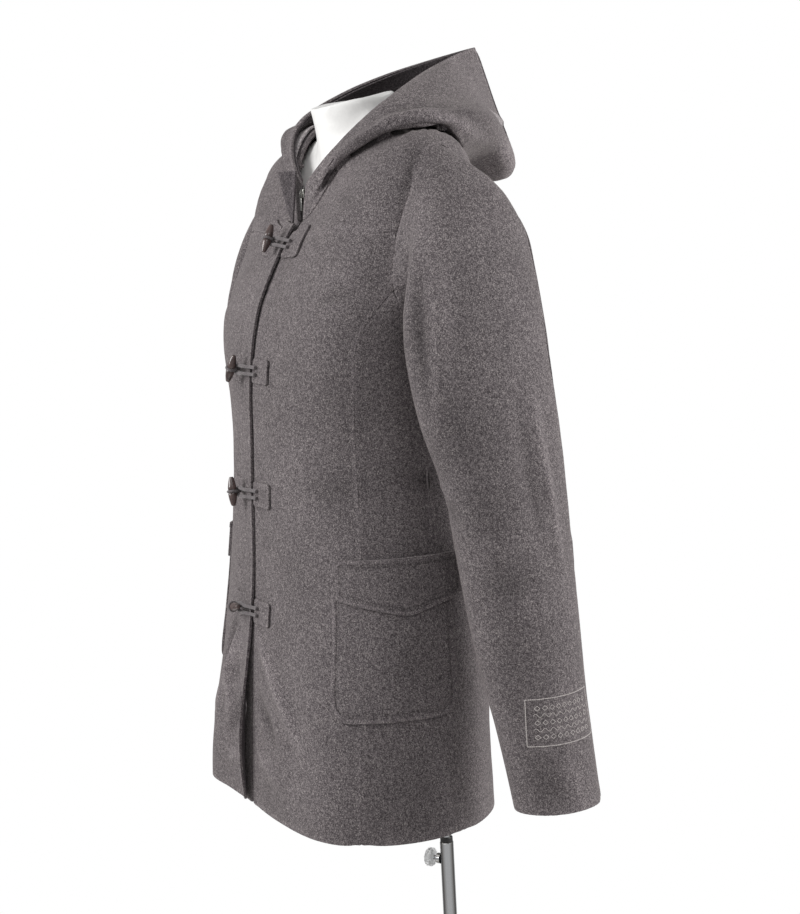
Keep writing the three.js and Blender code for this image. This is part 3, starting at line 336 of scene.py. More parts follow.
panelSorts = {
    "front": {"thick": 3, "smooth": 3, "flat": (0.24, 0.62), "area": 0.108, "held": "draped", "on": ["torso_form"]},
    "side": {"thick": 3, "smooth": 3, "flat": (0.13, 0.56), "area": 0.047, "held": "draped", "on": ["torso_form"]},
    "back": {"thick": 3, "smooth": 3, "flat": (0.6, 0.61), "area": 0.273, "held": "draped", "on": ["torso_form"]},
    "yoke": {"thick": 3, "smooth": 2, "flat": (0.56, 0.32), "area": 0.082, "held": "draped", "on": ["torso_form"]},
    "sleeve": {"thick": 3, "smooth": 3, "flat": (0.25, 0.64), "area": 0.098, "held": "hung", "on": ["yoke"]},
    "hood": {"thick": 3, "smooth": 3, "flat": (0.34, 0.25), "area": 0.05, "held": "folded", "on": ["yoke"]},
    "hood_facing": {"thick": 1.6, "smooth": 2, "flat": (0.3, 0.03), "area": 0.0055, "held": "laid", "on": ["hood"]},
    "hood_lining": {"thick": 1.6, "smooth": 2, "flat": (0.32, 0.2), "area": 0.033, "held": "laid", "on": ["hood"]},
    "pocket": {"thick": 3, "smooth": 2, "flat": (0.155, 0.16), "area": 0.0215, "held": "laid", "on": ["side"],
               "corners": False},
    "pocket_flap": {"thick": 3, "smooth": 3, "flat": (0.155, 0.057), "area": 0.0074, "held": "laid", "on": ["pocket"]},
    "placket": {"thick": 3, "smooth": 2, "flat": (0.031, 0.63), "area": 0.0186, "held": "laid", "on": ["front_right"]},
    "placket_top": {"thick": 2, "smooth": 3, "flat": (0.03, 0.056), "area": 0.001, "held": "folded", "on": ["placket"]},
    "zip_tape": {"thick": 1.2, "smooth": 1, "flat": (0.016, 0.66), "area": 0.0093, "held": "laid", "on": ["placket"]},
    "patch_left": {"thick": 2, "smooth": 2, "flat": (0.035, 0.033), "area": 0.00115, "held": "laid", "on": ["front"],
                   "corners": False},
    "patch_right": {"thick": 2, "smooth": 2, "flat": (0.03, 0.03), "area": 0.00085, "held": "laid", "on": ["front"],
                   "corners": False},
}

# Creases: mm along each, wide across it and high out of the cloth, minus for a trough.
# The wearer's left first, which is also put on the right a little lower and softer.
creases = [
    {"name": "sleeve front ridge", "wide": 10, "high": 4.1,
     "along": [(206, -92, 1420), (241, -107, 1353), (253, -115, 1297), (257, -120, 1251), (256, -121, 1196)]},
    {"name": "sleeve front trough", "wide": 9, "high": -3.7,
     "along": [(226, -120, 1352), (236, -125, 1330), (244, -128, 1298), (249, -127, 1251), (248, -126, 1210)]},
    {"name": "sleeve back ridge", "wide": 6, "high": 3.4,
     "along": [(275, -33, 1243), (281, -28, 1186), (284, -21, 1137), (286, -16, 1096), (288, -9, 1040)]},
    {"name": "sleeve back trough", "wide": 8, "high": -2.7,
     "along": [(279, -50, 1230), (286, -46, 1180), (289, -40, 1130), (291, -34, 1080)]},
    {"name": "forearm ridge", "wide": 9, "high": 2.5,
     "along": [(258, -98, 1078), (283, -77, 1083), (292, -49, 1090)]},
    {"name": "forearm trough", "wide": 10, "high": -2.7,
     "along": [(262, -93, 1040), (288, -66, 1049), (294, -38, 1050)]},
    {"name": "inner elbow trough", "wide": 7, "high": -3.7,
     "along": [(222, -104, 1130), (238, -109, 1118), (255, -104, 1112)]},
    {"name": "inner elbow ridge", "wide": 6, "high": 2.4,
     "along": [(224, -106, 1148), (243, -113, 1139), (262, -105, 1138)]},
    {"name": "cuff dent", "wide": 9, "high": -2.4,
     "along": [(296, -50, 868), (300, -42, 846), (301, -40, 828)]},
    {"name": "cuff swell", "wide": 10, "high": 2.2,
     "along": [(303, -26, 880), (305, -20, 850), (306, -16, 828)]},
    {"name": "hood upper trough", "wide": 11, "high": -4.6,
     "along": [(112, -90, 1498), (127, -67, 1510), (137, -38, 1511), (133, -2, 1503), (100, 40, 1492)]},
    {"name": "hood ridge", "wide": 8, "high": 3.8,
     "along": [(128, -100, 1487), (144, -71, 1501), (148, -48, 1499), (130, -7, 1487), (68, 60, 1470)]},
    {"name": "hood lower trough", "wide": 7, "high": -3.2,
     "along": [(98, -110, 1476), (129, -92, 1484), (138, -56, 1488), (134, -24, 1482)]},
    {"name": "hood back drop", "wide": 24, "high": 12,
     "along": [(66, 86, 1449), (34, 99, 1447), (-4, 106, 1444)]},
    {"name": "front drag ridge", "wide": 8, "high": 6.5,
     "along": [(13, -220, 972), (44, -222, 945), (73, -223, 914), (107, -220, 868)]},
    {"name": "front drag low ridge", "wide": 7, "high": 4.2,
     "along": [(16, -230, 846), (40, -231, 838), (70, -231, 826)]},
    {"name": "front drag trough", "wide": 9, "high": -5.0,
     "along": [(14, -224, 905), (42, -226, 882), (70, -227, 852)]},
    {"name": "side fold below pocket", "wide": 9, "high": 3.1,
     "along": [(194, -104, 888), (197, -100, 840), (198, -96, 794)]},
    {"name": "bust pull", "wide": 9, "high": -3.4,
     "along": [(112, -176, 1322), (140, -160, 1331), (160, -146, 1327)]},
    {"name": "waist pull", "wide": 12, "high": -2.7,
     "along": [(96, -200, 1142), (128, -184, 1132), (150, -158, 1136)]},
    {"name": "side waist trough", "wide": 10, "high": -3.1,
     "along": [(164, -110, 1150), (170, -80, 1138), (168, -50, 1144)]},
    {"name": "yoke pull", "wide": 8, "high": -2.4,
     "along": [(74, -130, 1418), (104, -124, 1420), (132, -114, 1410)]},
    {"name": "back waist trough", "wide": 12, "high": -3.7,
     "along": [(150, 4, 1150), (112, 12, 1134), (62, 12, 1140)]},
    {"name": "back waist ridge", "wide": 11, "high": 3.1,
     "along": [(146, 6, 1122), (104, 14, 1108), (58, 14, 1112)]},
    {"name": "back blade drag", "wide": 11, "high": -3.1,
     "along": [(148, 10, 1330), (112, 22, 1288), (84, 24, 1236)]},
    {"name": "back skirt ridge", "wide": 11, "high": 3.7,
     "along": [(98, 20, 1020), (104, 26, 930), (108, 28, 820)]},
    {"name": "back sleeve drag", "wide": 8, "high": -3.1,
     "along": [(216, 14, 1300), (234, 18, 1268), (250, 12, 1226)]},
]
# What the left side has and the right lacks, and the other way round
oneSided = [
    {"name": "right front ridge", "wide": 8, "high": 6.0,
     "along": [(-34, -220, 975), (-50, -223, 948), (-61, -226, 918), (-66, -231, 851)]},
    {"name": "right front trough", "wide": 7, "high": -4.0,
     "along": [(-48, -220, 985), (-66, -222, 950), (-78, -224, 900)]},
    {"name": "toggle pull", "wide": 6, "high": 2.4,
     "along": [(-30, -212, 1010), (-46, -208, 1030), (-66, -205, 1044)]},
    {"name": "middle back fold", "wide": 13, "high": 4.1,
     "along": [(-14, 22, 1000), (-20, 26, 910), (-26, 26, 806)]},
]
mirrored = {"lower": 9, "softer": 0.85}


def allCreases():
    both = list(oneSided)
    for crease in creases:
        both.append(crease)
        along = [(-x, y, z - mirrored["lower"]) for x, y, z in crease["along"]]
        both.append(dict(crease, along=along, high=crease["high"] * mirrored["softer"]))
    return both


def creaseHeights(points, normals):
    """How far each point is moved along its normal. Only the distance along the cloth counts."""
    reach = 30 * mm
    heights = np.zeros(len(points))
    for crease in allCreases():
        line = np.array(crease["along"]) * mm
        nearest = np.full(len(points), 9.0)
        share = np.zeros(len(points))
        for k in range(len(line) - 1):
            step = line[k + 1] - line[k]
            t = np.clip((points - line[k]) @ step / (step @ step), 0, 1)
            off = points - line[k] - t[:, None] * step
            out = (off * normals).sum(1)
            flat = np.sqrt(np.maximum((off * off).sum(1) - out * out, 0))
            flat[np.abs(out) > reach] = 9.0
            closer = flat < nearest
            nearest[closer] = flat[closer]
            share[closer] = (k + t[closer]) / (len(line) - 1)
        fade = np.sin(np.pi * np.clip(share, 0.02, 0.98)) ** 0.7
        heights += crease["high"] * mm * fade * np.exp(-(nearest / (crease["wide"] * mm)) ** 2)
    return heights


slack = {"high": 0.7, "wide": 85, "fine": 0.25, "fineWide": 26}


def slackHeight(point):
    broad = noise.noise(point / (slack["wide"] * mm))
    fine = noise.noise(point / (slack["fineWide"] * mm))
    return (slack["high"] * broad + slack["fine"] * fine) * mm


# Which face of a wall is the outer one: that nearest to these pieces, or furthest from them
nearTo = {"hood_facing": "hood_{}", "hood_lining": "hood_{}"}
farFrom = {"hood": "hood_lining_{}"}


def outwardness(faces, sort, side):
    if sort in nearTo or sort in farFrom:
        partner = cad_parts[(nearTo.get(sort) or farFrom[sort]).format(side)].data
        tree = BVHTree.FromPolygons([v.co for v in partner.vertices], [list(p.vertices) for p in partner.polygons])
        gap = sum(tree.find_nearest(f.calc_center_median())[3] for f in faces) / len(faces)
        return gap if sort in farFrom else -gap
    middle = Vector(bodyMiddle)
    if sort == "sleeve":
        both = [v.co for half in ("upper", "under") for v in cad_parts[f"sleeve_{side}_{half}"].data.vertices]
        middle = sum(both, Vector()) / len(both)
    total = 0
    for face in faces:
        away = face.calc_center_median() - middle
        total += face.calc_area() * (face.normal.x * away.x + face.normal.y * away.y)
    return total


def markSides(bm, thick, sort, side):
    """Marks the outer wall, the inner wall and the rim, whose faces are as wide as the cloth is thick"""
    short = {e for e in bm.edges if abs(e.calc_length() - thick * mm) < 0.2 * thick * mm}
    for face in bm.faces:
        face.material_index = rim if sum(e in short for e in face.edges) >= len(face.edges) - 2 else inner
    start = next(f for f in bm.faces if f.material_index == inner)
    found, waiting = {start}, [start]
    while waiting:
        for edge in waiting.pop().edges:
            for face in edge.link_faces:
                if face.material_index == inner and face not in found:
                    found.add(face)
                    waiting.append(face)
    other = [f for f in bm.faces if f.material_index == inner and f not in found]
    if not other:
        raise ValueError(f"the two faces of a {sort} wall weren't told apart")
    isFound = outwardness(found, sort, side) > outwardness(other, sort, side)
    for face in found if isFound else other:
        face.material_index = outer


def keepCorners(bm):
    """Creases the rim's corners, so that smoothing doesn't cut them off"""
    cornerTurn = math.radians(35)
    vertexCrease = bm.verts.layers.float.new("crease_vert")
    edgeCrease = bm.edges.layers.float.new("crease_edge")
    for edge in bm.edges:
        across = [f for f in edge.link_faces if f.material_index == rim]
        if len(across) == 2 and across[0].normal.angle(across[1].normal, 0) > cornerTurn:
            edge[edgeCrease] = 0.9
            for vertex in edge.verts:
                vertex[vertexCrease] = 0.9


def roundEdges(bm, border):
    for side in (outer, inner):
        faces = [f for f in bm.faces if f.material_index == side]
        bmesh.ops.inset_region(bm, faces=faces, thickness=edgeRound * mm, use_boundary=True, use_even_offset=True)
        if side == inner or not border:
            continue
        for thickness, depth in border:
            bmesh.ops.inset_region(bm, faces=faces, thickness=thickness * mm, depth=depth * mm,
                                   use_boundary=True, use_even_offset=True)


def rimVertices(mesh):
    return {v for p in mesh.polygons if p.material_index == rim for v in p.vertices}


def outerTree(mesh):
    faces = [list(p.vertices) for p in mesh.polygons if p.material_index == outer]
    return BVHTree.FromPolygons([v.co for v in mesh.vertices], faces)


# How strongly creases, rounded edges and the border groove are painted paler or darker: painted highlight and painted
# shade
paintedLightLook = {"perCrease": 0.2, "edge": 0.45, "edgeWide": 1.6, "groove": 0.75}


def layFolds(mesh, thick, border):
    """Moves the cloth's both faces alike, by the creases and a little slack"""
    tree = outerTree(mesh)
    points = arrays(mesh)
    nearest = [tree.find_nearest(Vector(p)) for p in points]
    normals = np.array([hit[1] for hit in nearest])
    places = np.array([hit[0] for hit in nearest])
    folds = creaseHeights(places, normals)
    heights = folds + np.array([slackHeight(hit[0]) for hit in nearest])
    mesh.vertices.foreach_set("co", (points + normals * heights[:, None]).ravel())
    mesh.update()
    edges = KDTree(len(mesh.vertices))
    for vertex in rimVertices(mesh):
        edges.insert(points[vertex], vertex)
    edges.balance()
    fromEdge = np.array([edges.find(p)[2] for p in points]) / mm
    # Painted light: ridges and the band along each edge are painted paler as painted highlight, troughs and the border
    # groove darker as painted shade
    paintedLight = paintedLightLook["perCrease"] * folds / mm
    paintedLight += paintedLightLook["edge"] * np.exp(-((fromEdge - thick / 2 - 0.5) / paintedLightLook["edgeWide"]) ** 2)
    if border:
        middle = edgeRound + border[0][0] + border[1][0] + thick / 2
        paintedLight -= paintedLightLook["groove"] * np.exp(-((fromEdge - middle) / 1.1) ** 2)
    attribute = mesh.attributes.new("paintedLight", "FLOAT", "POINT")
    attribute.data.foreach_set("value", paintedLight)


# A pocket's border: mm inward and mm up or down of each step, from the rounded edge
pocketBorder = [(3.6, 0.5), (1.2, -1.5), (1.4, 0.9)]
flapBorder = [(3.2, 0.3), (1.0, -0.8), (1.0, 0.4)]
walls = {}


# The inner wall of each panel takes the darker copy of the melton, as painted shade
def clothPanel(node, sort, materials=(melton, paintedShadeMelton, melton), border=None):
    look = panelSorts[sort]
    bm = mergedCopy(node)
    side = next((s for s in sides if f"_{s}" in node), "left")
    markSides(bm, look["thick"], sort, side)
    if look.get("corners", True):
        keepCorners(bm)
    roundEdges(bm, border)
    mesh = subdivided(bm, node, look["smooth"])
    layFolds(mesh, look["thick"], border)
    piece = finishPiece(f"{node}_cloth", mesh, materials, "coat", [node])
    walls[node] = mesh
    return piece


for side in sides:
    clothPanel(f"front_{side}", "front")
    clothPanel(f"side_{side}", "side")
    for half in ("upper", "under"):
        clothPanel(f"sleeve_{side}_{half}", "sleeve")
    clothPanel(f"pocket_{side}", "pocket", border=pocketBorder)
    clothPanel(f"pocket_flap_{side}", "pocket_flap", border=flapBorder)
clothPanel("back", "back")
clothPanel("yoke", "yoke")
print("coat panels done")

for side in sides:
    clothPanel(f"hood_{side}", "hood")
    clothPanel(f"hood_facing_{side}", "hood_facing", (paintedShadeMelton,) * 3)
    clothPanel(f"hood_lining_{side}", "hood_lining", (fleece,) * 3)
    clothPanel(f"zip_tape_{side}", "zip_tape", (tape,) * 3)
clothPanel("placket", "placket")
clothPanel("placket_top", "placket_top", (paintedShadeMelton,) * 3)
for side in sides:
    for number in range(1, 5):
        clothPanel(f"patch_{side}_{number}", f"patch_{side}")
print("hood, placket and patches done")


# Torso form: smooth shell, its neck cut flat

def makeForm():
    bm = mergedCopy("torso_form", 30)
    top = max(v.co.z for v in bm.verts)
    crease = bm.edges.layers.float.new("crease_edge")
    for edge in bm.edges:
        flat = [f for f in edge.link_faces if f.normal.z > 0.9 and f.calc_center_median().z > top - 14 * mm]
        edge[crease] = 0.75 if len(flat) == 1 else 0
    mesh = subdivided(bm, "torso_form", 2)
    finishPiece("torso_form_shell", mesh, [satinShell], "coat", ["torso_form"])


makeForm()


# Turned and drawn metal parts, spun from half sections of (radius, height) in mm

def turned(bm, section, matrix=Matrix(), steps=64):
    made = [bm.verts.new((radius * mm, 0, height * mm)) for radius, height in section]
    edges = [bm.edges.new(pair) for pair in zip(made, made[1:])]
    spun = bmesh.ops.spin(bm, geom=made + edges, axis=(0, 0, 1), cent=(0, 0, 0), angle=math.tau, steps=steps,
                          use_merge=True)
    points = {v for e in spun["geom_last"] if isinstance(e, bmesh.types.BMVert) for v in [e]} | set(made)
    return points


def turnedPiece(name, section, material, body, node, matrix=Matrix(), steps=64):
    bm = bmesh.new()
    turned(bm, section, steps=steps)
    bmesh.ops.remove_doubles(bm, verts=bm.verts[:], dist=0.005 * mm)
    bmesh.ops.recalc_face_normals(bm, faces=bm.faces[:])
    bmesh.ops.transform(bm, matrix=matrix, verts=bm.verts[:])
    mesh = meshFrom(bm, name)
    mesh.set_sharp_from_angle(angle=math.radians(35))
    return finishPiece(name, mesh, [material], body, [node] if node else [])


stand = {
    "baseRadius": 160, "baseThick": 14, "hubRadius": 24, "hubHigh": 26, "tubeRadius": 7.8, "tubeBore": 6.2,
    "tubeHigh": 690, "rodRadius": 5.5, "rodLow": 300, "rodTop": 831.6,
}
clamp = {
    "height": 668, "turn": 214, "bossRadius": 6, "bossLong": 5, "boltRadius": 2.6, "boltLong": 4,
    "knobRadius": 10.5, "knobLong": 9, "gap": 0.3, "flutes": 8, "fluteRadius": 2.6,
}


def makeStand():
    s = stand
    turnedPiece("stand_base_plate", [
        (0, 0), (s["baseRadius"] - 2, 0), (s["baseRadius"] - 0.5, 1), (s["baseRadius"], 3.2), (s["baseRadius"] - 1, 7),
        (s["baseRadius"] - 5, 10.6), (s["baseRadius"] - 12, 13), (s["baseRadius"] - 24, 13.8),
        (s["hubRadius"] + 6, s["baseThick"]), (s["hubRadius"] + 1, 15.2), (s["hubRadius"] - 1.5, 18),
        (s["hubRadius"] - 3, 23), (s["hubRadius"] - 5, 25.4), (s["hubRadius"] - 8, s["hubHigh"]), (0, s["hubHigh"]),
    ], chrome, "stand", "stand_base", steps=120)
    foot, top, outside, bore = s["hubHigh"] + 0.3, s["tubeHigh"], s["tubeRadius"], s["tubeBore"]
    turnedPiece("stand_outer_tube", [
        (bore, foot), (outside - 0.5, foot), (outside, foot + 0.6), (outside, top - 1), (outside - 0.5, top - 0.3),
        (bore + 0.5, top), (bore, top - 0.5), (bore, foot),
    ], chrome, "stand", "stand_tube", steps=48)
    turnedPiece("stand_inner_rod", [
        (0, s["rodLow"]), (s["rodRadius"] - 0.6, s["rodLow"]), (s["rodRadius"], s["rodLow"] + 0.8),
        (s["rodRadius"], s["rodTop"]), (0, s["rodTop"]),
    ], chrome, "coat", "stand_rod", steps=48)


def makeMouthBush():
    # Dark bush that guides the rod at the tube's mouth
    low, high, outside, bore = stand["tubeHigh"] + 0.2, stand["tubeHigh"] + 6, 7.2, 5.8
    turnedPiece("tube_mouth_bush", [
        (bore, low), (outside, low), (outside, high - 1), (outside - 0.8, high), (bore, high), (bore, low),
    ], blackPlastic, "stand", None, steps=48)


def clampMatrix():
    turn = Matrix.Rotation(math.radians(clamp["turn"]), 4, "Z")
    return Matrix.Translation((0, 0, clamp["height"] * mm)) @ turn @ Matrix.Rotation(math.pi / 2, 4, "Y")


def makeClamp():
    c = clamp
    start = stand["tubeRadius"] + c["gap"]
    end = start + c["bossLong"]
    turnedPiece("clamp_welded_boss", [
        (0, start), (c["bossRadius"], start), (c["bossRadius"], end - 0.8), (c["bossRadius"] - 0.8, end), (0, end),
    ], chrome, "stand", "clamp_boss", clampMatrix(), 40)
    start = end + c["gap"]
    knob = start + c["boltLong"]
    bm = bmesh.new()
    turned(bm, [(0, knob), (c["knobRadius"] - 1.5, knob), (c["knobRadius"], knob + 1.2),
                (c["knobRadius"], knob + c["knobLong"] - 2), (c["knobRadius"] - 2, knob + c["knobLong"] - 0.4),
                (c["knobRadius"] - 6, knob + c["knobLong"]), (0, knob + c["knobLong"] - 0.6)], steps=64)
    bmesh.ops.remove_doubles(bm, verts=bm.verts[:], dist=0.005 * mm)
    for v in bm.verts:
        around = math.atan2(v.co.y, v.co.x)
        grip = 1 - 0.09 * max(0, math.cos(c["flutes"] * around)) ** 2
        if math.hypot(v.co.x, v.co.y) > (c["knobRadius"] - 3) * mm:
            v.co.x *= grip
            v.co.y *= grip
    bmesh.ops.recalc_face_normals(bm, faces=bm.faces[:])
    bmesh.ops.transform(bm, matrix=clampMatrix(), verts=bm.verts[:])
    mesh = meshFrom(bm, "clamp_knob")
    mesh.set_sharp_from_angle(angle=math.radians(40))
    finishPiece("clamp_knob", mesh, [frosted], "screw", ["clamp_screw"])
    turnedPiece("clamp_bolt", [
        (0, start), (c["boltRadius"] - 0.4, start), (c["boltRadius"], start + 0.4), (c["boltRadius"], knob - 0.05),
        (0, knob - 0.05),
    ], chrome, "screw", None, clampMatrix(), 32)


makeStand()
makeMouthBush()
makeClamp()
print("form and stand done")


# Toggles, cords and loops

toggleSection = [(0, -15.5), (1.5, -15.5), (2.1, -15.1), (2.9, -13), (3.9, -9), (4.5, -5), (4.7, -2.6), (4.3, -1.7),
                 (3.7, -1.1), (3.6, 0), (3.7, 1.1), (4.3, 1.7), (4.7, 2.6), (4.5, 5), (3.9, 9), (2.9, 13),
                 (2.1, 15.1), (1.5, 15.5), (0, 15.5)]
wrapLook = {"ring": 4.6, "cord": 1.5}


def toggleMatrix(node):
    """Where the CAD toggle lies: its two ends are its points furthest apart"""
    points = [v.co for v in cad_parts[node].data.vertices]
    middle = (Vector(map(min, zip(*points))) + Vector(map(max, zip(*points)))) / 2
    end = max(points, key=lambda p: (p - middle).length)
    return Matrix.Translation(middle) @ (end - middle).to_track_quat("Z", "Y").to_matrix().to_4x4()


def makeToggle(number):
    node = f"toggle_{number}"
    matrix = toggleMatrix(node)
    turnedPiece(f"{node}_horn", toggleSection, horn, "coat", node, matrix, 32)
    bm = bmesh.new()
    ring = bmesh.ops.create_circle(bm, segments=10, radius=wrapLook["cord"] * mm)["verts"]
    bmesh.ops.rotate(bm, verts=ring, cent=(0, 0, 0), matrix=Matrix.Rotation(math.pi / 2, 3, "X"))
    bmesh.ops.translate(bm, verts=ring, vec=(wrapLook["ring"] * mm, 0, 0))
    bmesh.ops.spin(bm, geom=bm.verts[:] + bm.edges[:], axis=(0, 0, 1), cent=(0, 0, 0), angle=math.tau, steps=36,
                   use_merge=True)
    bmesh.ops.remove_doubles(bm, verts=bm.verts[:], dist=0.005 * mm)
    bmesh.ops.recalc_face_normals(bm, faces=bm.faces[:])
    bmesh.ops.transform(bm, matrix=matrix, verts=bm.verts[:])
    finishPiece(f"{node}_wrap", meshFrom(bm, f"{node}_wrap"), [cordCloth], "coat")


cordLook = {"fuller": 0.6}


def softTube(node):
    bm = mergedCopy(node, 50)
    for vertex in bm.verts:
        vertex.co += vertex.normal * cordLook["fuller"] * mm
    crease = bm.edges.layers.float.new("crease_edge")
    for edge in bm.edges:
        edge[crease] = 1 if edge.calc_face_angle(0) > math.radians(70) else 0
    finishPiece(f"{node}_cloth", subdivided(bm, node, 2), [cordCloth], "coat", [node])


for number in range(1, 5):
    makeToggle(number)
    softTube(f"toggle_loop_{number}")
    softTube(f"toggle_cord_{number}")
print("toggles done")


# Sewing: short rounded stitches laid along a line on the cloth

stitchLook = {"long": 3.0, "pitch": 3.9, "thick": 0.55, "sunk": 0.1}


def stitch(bm, place, along, normal, long, thick, wide=None):
    side = normal.cross(along).normalized()
    turn = Matrix((along * long / 2, side * (wide or thick) / 2, normal * thick / 2)).transposed().to_4x4()
    bmesh.ops.create_icosphere(bm, subdivisions=1, radius=mm, matrix=Matrix.Translation(place) @ turn)


def rimLoops(mesh):
    """The outer wall's edge as closed loops of points, in order"""
    sidesOf = {}
    for polygon in mesh.polygons:
        for key in polygon.edge_keys:
            sidesOf.setdefault(key, set()).add(polygon.material_index)
    nextTo = {}
    for (a, b), found in sidesOf.items():
        if found == {outer, rim}:
            nextTo.setdefault(a, []).append(b)
            nextTo.setdefault(b, []).append(a)
    loops = []
    while nextTo:
        at = next(iter(nextTo))
        loop = []
        while at is not None:
            loop.append(at)
            ahead = [v for v in nextTo.pop(at) if v in nextTo]
            at = ahead[0] if ahead else None
        loops.append([mesh.vertices[v].co.copy() for v in loop])
    return loops


def evenly(points, pitch):
    """Points this far apart along a line, each with its direction"""
    placed, carried = [], 0.0
    for a, b in zip(points, points[1:]):
        length = (b - a).length
        while length > 0 and carried <= length:
            placed.append((a.lerp(b, carried / length), (b - a).normalized()))
            carried += pitch
        carried -= length
    return placed


def sewRow(bm, node, inset, keep=lambda p: True):
    """A row of stitches inset mm inside the edge of a panel, along the part of it that keep accepts"""
    mesh = walls[node]
    tree = outerTree(mesh)
    for loop in rimLoops(mesh):
        closed = loop + [loop[0]]
        spots = evenly(closed, stitchLook["pitch"] * mm)
        edge = np.array([p for p, _ in evenly(closed, 2 * mm)])
        for point, along in spots:
            if not keep(point):
                continue
            normal = tree.find_nearest(point)[1]
            best = None
            for way in (1, -1):
                place, up, _, gap = tree.find_nearest(point + normal.cross(along) * inset * mm * way)
                fromEdge = np.sqrt(((edge - np.array(place)) ** 2).sum(1).min())
                if fromEdge > 0.9 * inset * mm and gap < 1.5 * mm:
                    best = (place, up)
            if best:
                place, up = best
                flatAlong = (along - up * along.dot(up)).normalized()
                stitch(bm, place - up * stitchLook["sunk"] * mm, flatAlong, up, stitchLook["long"], stitchLook["thick"])


def onFaceEdge(point):
    # The hood's face edge lies above this slanting line, and away from the middle seam
    return abs(point.x) > 3 * mm and point.z > 1.428 + 0.5 * max(0, point.y + 0.131)


# Seams: the turned-in edges that meet a little below the cloth's face, as one soft line
seamLook = {"pitch": 5, "around": 8}
sewn = {"reach": 2.6, "below": 1.9, "thick": 1.7}
neckRoll = {"reach": 7, "below": 2.4, "thick": 5}


def seamRuns(node, others, look):
    """The parts of a panel's edge that lie against other panels, halfway between both"""
    trees = [outerTree(walls[other]) for other in others]
    runs = []
    for loop in rimLoops(walls[node]):
        spots = [point for point, _ in evenly(loop + [loop[0]], seamLook["pitch"] * mm)]
        run = []
        for point in spots + [None]:
            hits = [tree.find_nearest(point) for tree in trees] if point else []
            hit = min(hits, key=lambda h: h[3]) if hits else None
            if hit and hit[3] < look["reach"] * mm:
                normal = (point - Vector((*bodyMiddle[:2], point.z))).normalized()
                run.append(((point + hit[0]) / 2 - normal * look["below"] * mm, normal))
            elif run:
                runs.append(run)
                run = []
    return [run for run in runs if len(run) > 2]


def addTube(bm, run, thick):
    rings = []
    for k, (place, normal) in enumerate(run):
        ahead = run[min(k + 1, len(run) - 1)][0] - run[max(k - 1, 0)][0]
        side = ahead.cross(normal).normalized()
        turns = [math.tau * j / seamLook["around"] for j in range(seamLook["around"])]
        rings.append([bm.verts.new(place + (side * math.cos(a) + normal * math.sin(a)) * thick / 2 * mm)
                      for a in turns])
    for low, high in zip(rings, rings[1:]):
        for j in range(len(low)):
            bm.faces.new((low[j - 1], low[j], high[j], high[j - 1]))
    bm.faces.new(rings[0])
    bm.faces.new(reversed(rings[-1]))


def makeSeams():
    bm = bmesh.new()
    for side in sides:
        for node, others, look in (
            (f"side_{side}", [f"front_{side}", "back"], sewn),
            (f"front_{side}", ["yoke"], sewn),
            (f"hood_{side}", ["yoke"], neckRoll),
        ):
            for run in seamRuns(node, others, look):
                addTube(bm, run, look["thick"])
    for run in seamRuns("back", ["yoke"], sewn):
        addTube(bm, run, sewn["thick"])
    bmesh.ops.recalc_face_normals(bm, faces=bm.faces[:])
    finishPiece("turned_in_seams", meshFrom(bm, "turned_in_seams"), [melton], "coat")


def sewRows(name, rows, material=thread):
    bm = bmesh.new()
    for row in rows:
        sewRow(bm, *row)
    finishPiece(name, meshFrom(bm, name), [material], "coat")


makeSeams()
for side in sides:
    sewRows(f"hood_{side}_stitching", [(f"hood_{side}", 9, onFaceEdge)])
sewRows("patch_left_stitching", [(f"patch_left_{number}", 2.6) for number in range(1, 5)])
sewRows("placket_stitching", [("placket", 3)])
sewRows("front_left_stitching", [("front_left", 7, lambda p: p.x < 12 * mm)])
print("sewing done")


# Zip: nickel teeth on the tapes, slider with its bridge, and a pull tab

zipLook = {"pitch": 2.6, "wide": 2.4, "high": 1.3, "deep": 1.7, "apart": 1.25, "below": 12}


def makeTeeth():
    bm = bmesh.new()
    for side, sign in sides.items():
        points = sorted((Vector(v.co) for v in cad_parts[f"zip_tape_{side}"].data.vertices), key=lambda p: p.z)
        edge = [p for p in points if abs(p.x) < 2 * mm]
        low, high = edge[0].z + zipLook["below"] * mm, edge[-1].z
        shift = 0 if sign > 0 else zipLook["pitch"] / 2 * mm
        rows = {round(p.z, 4): [] for p in edge}
        for p in edge:
            rows[round(p.z, 4)].append(p)
        line = [Vector((0, min(p.y for p in found), height)) for height, found in sorted(rows.items())]
        for point, along in evenly(line, zipLook["pitch"] * mm):
            if not low < point.z + shift < high:
                continue
            place = point + along * shift + Vector((sign * zipLook["apart"] * mm, 0, 0))
            shape = Matrix.Diagonal((zipLook["wide"] * mm, zipLook["deep"] * mm, zipLook["high"] * mm, 1))
            turn = along.to_track_quat("Z", "Y").to_matrix().to_4x4()
            bmesh.ops.create_cube(bm, size=1, matrix=Matrix.Translation(place) @ turn @ shape)
    finishPiece("zip_teeth", meshFrom(bm, "zip_teeth"), [nickel], "coat")


def roundedBox(bm, low, high, bevel, segments=3):
    middle, size = (low + high) / 2, high - low
    made = bmesh.ops.create_cube(bm, size=1, matrix=Matrix.Translation(middle) @ Matrix.Diagonal((*size, 1)))["verts"]
    edges = list({e for v in made for e in v.link_edges})
    bmesh.ops.bevel(bm, geom=edges, offset=bevel * mm, segments=segments, profile=0.5, affect="EDGES", material=-1)


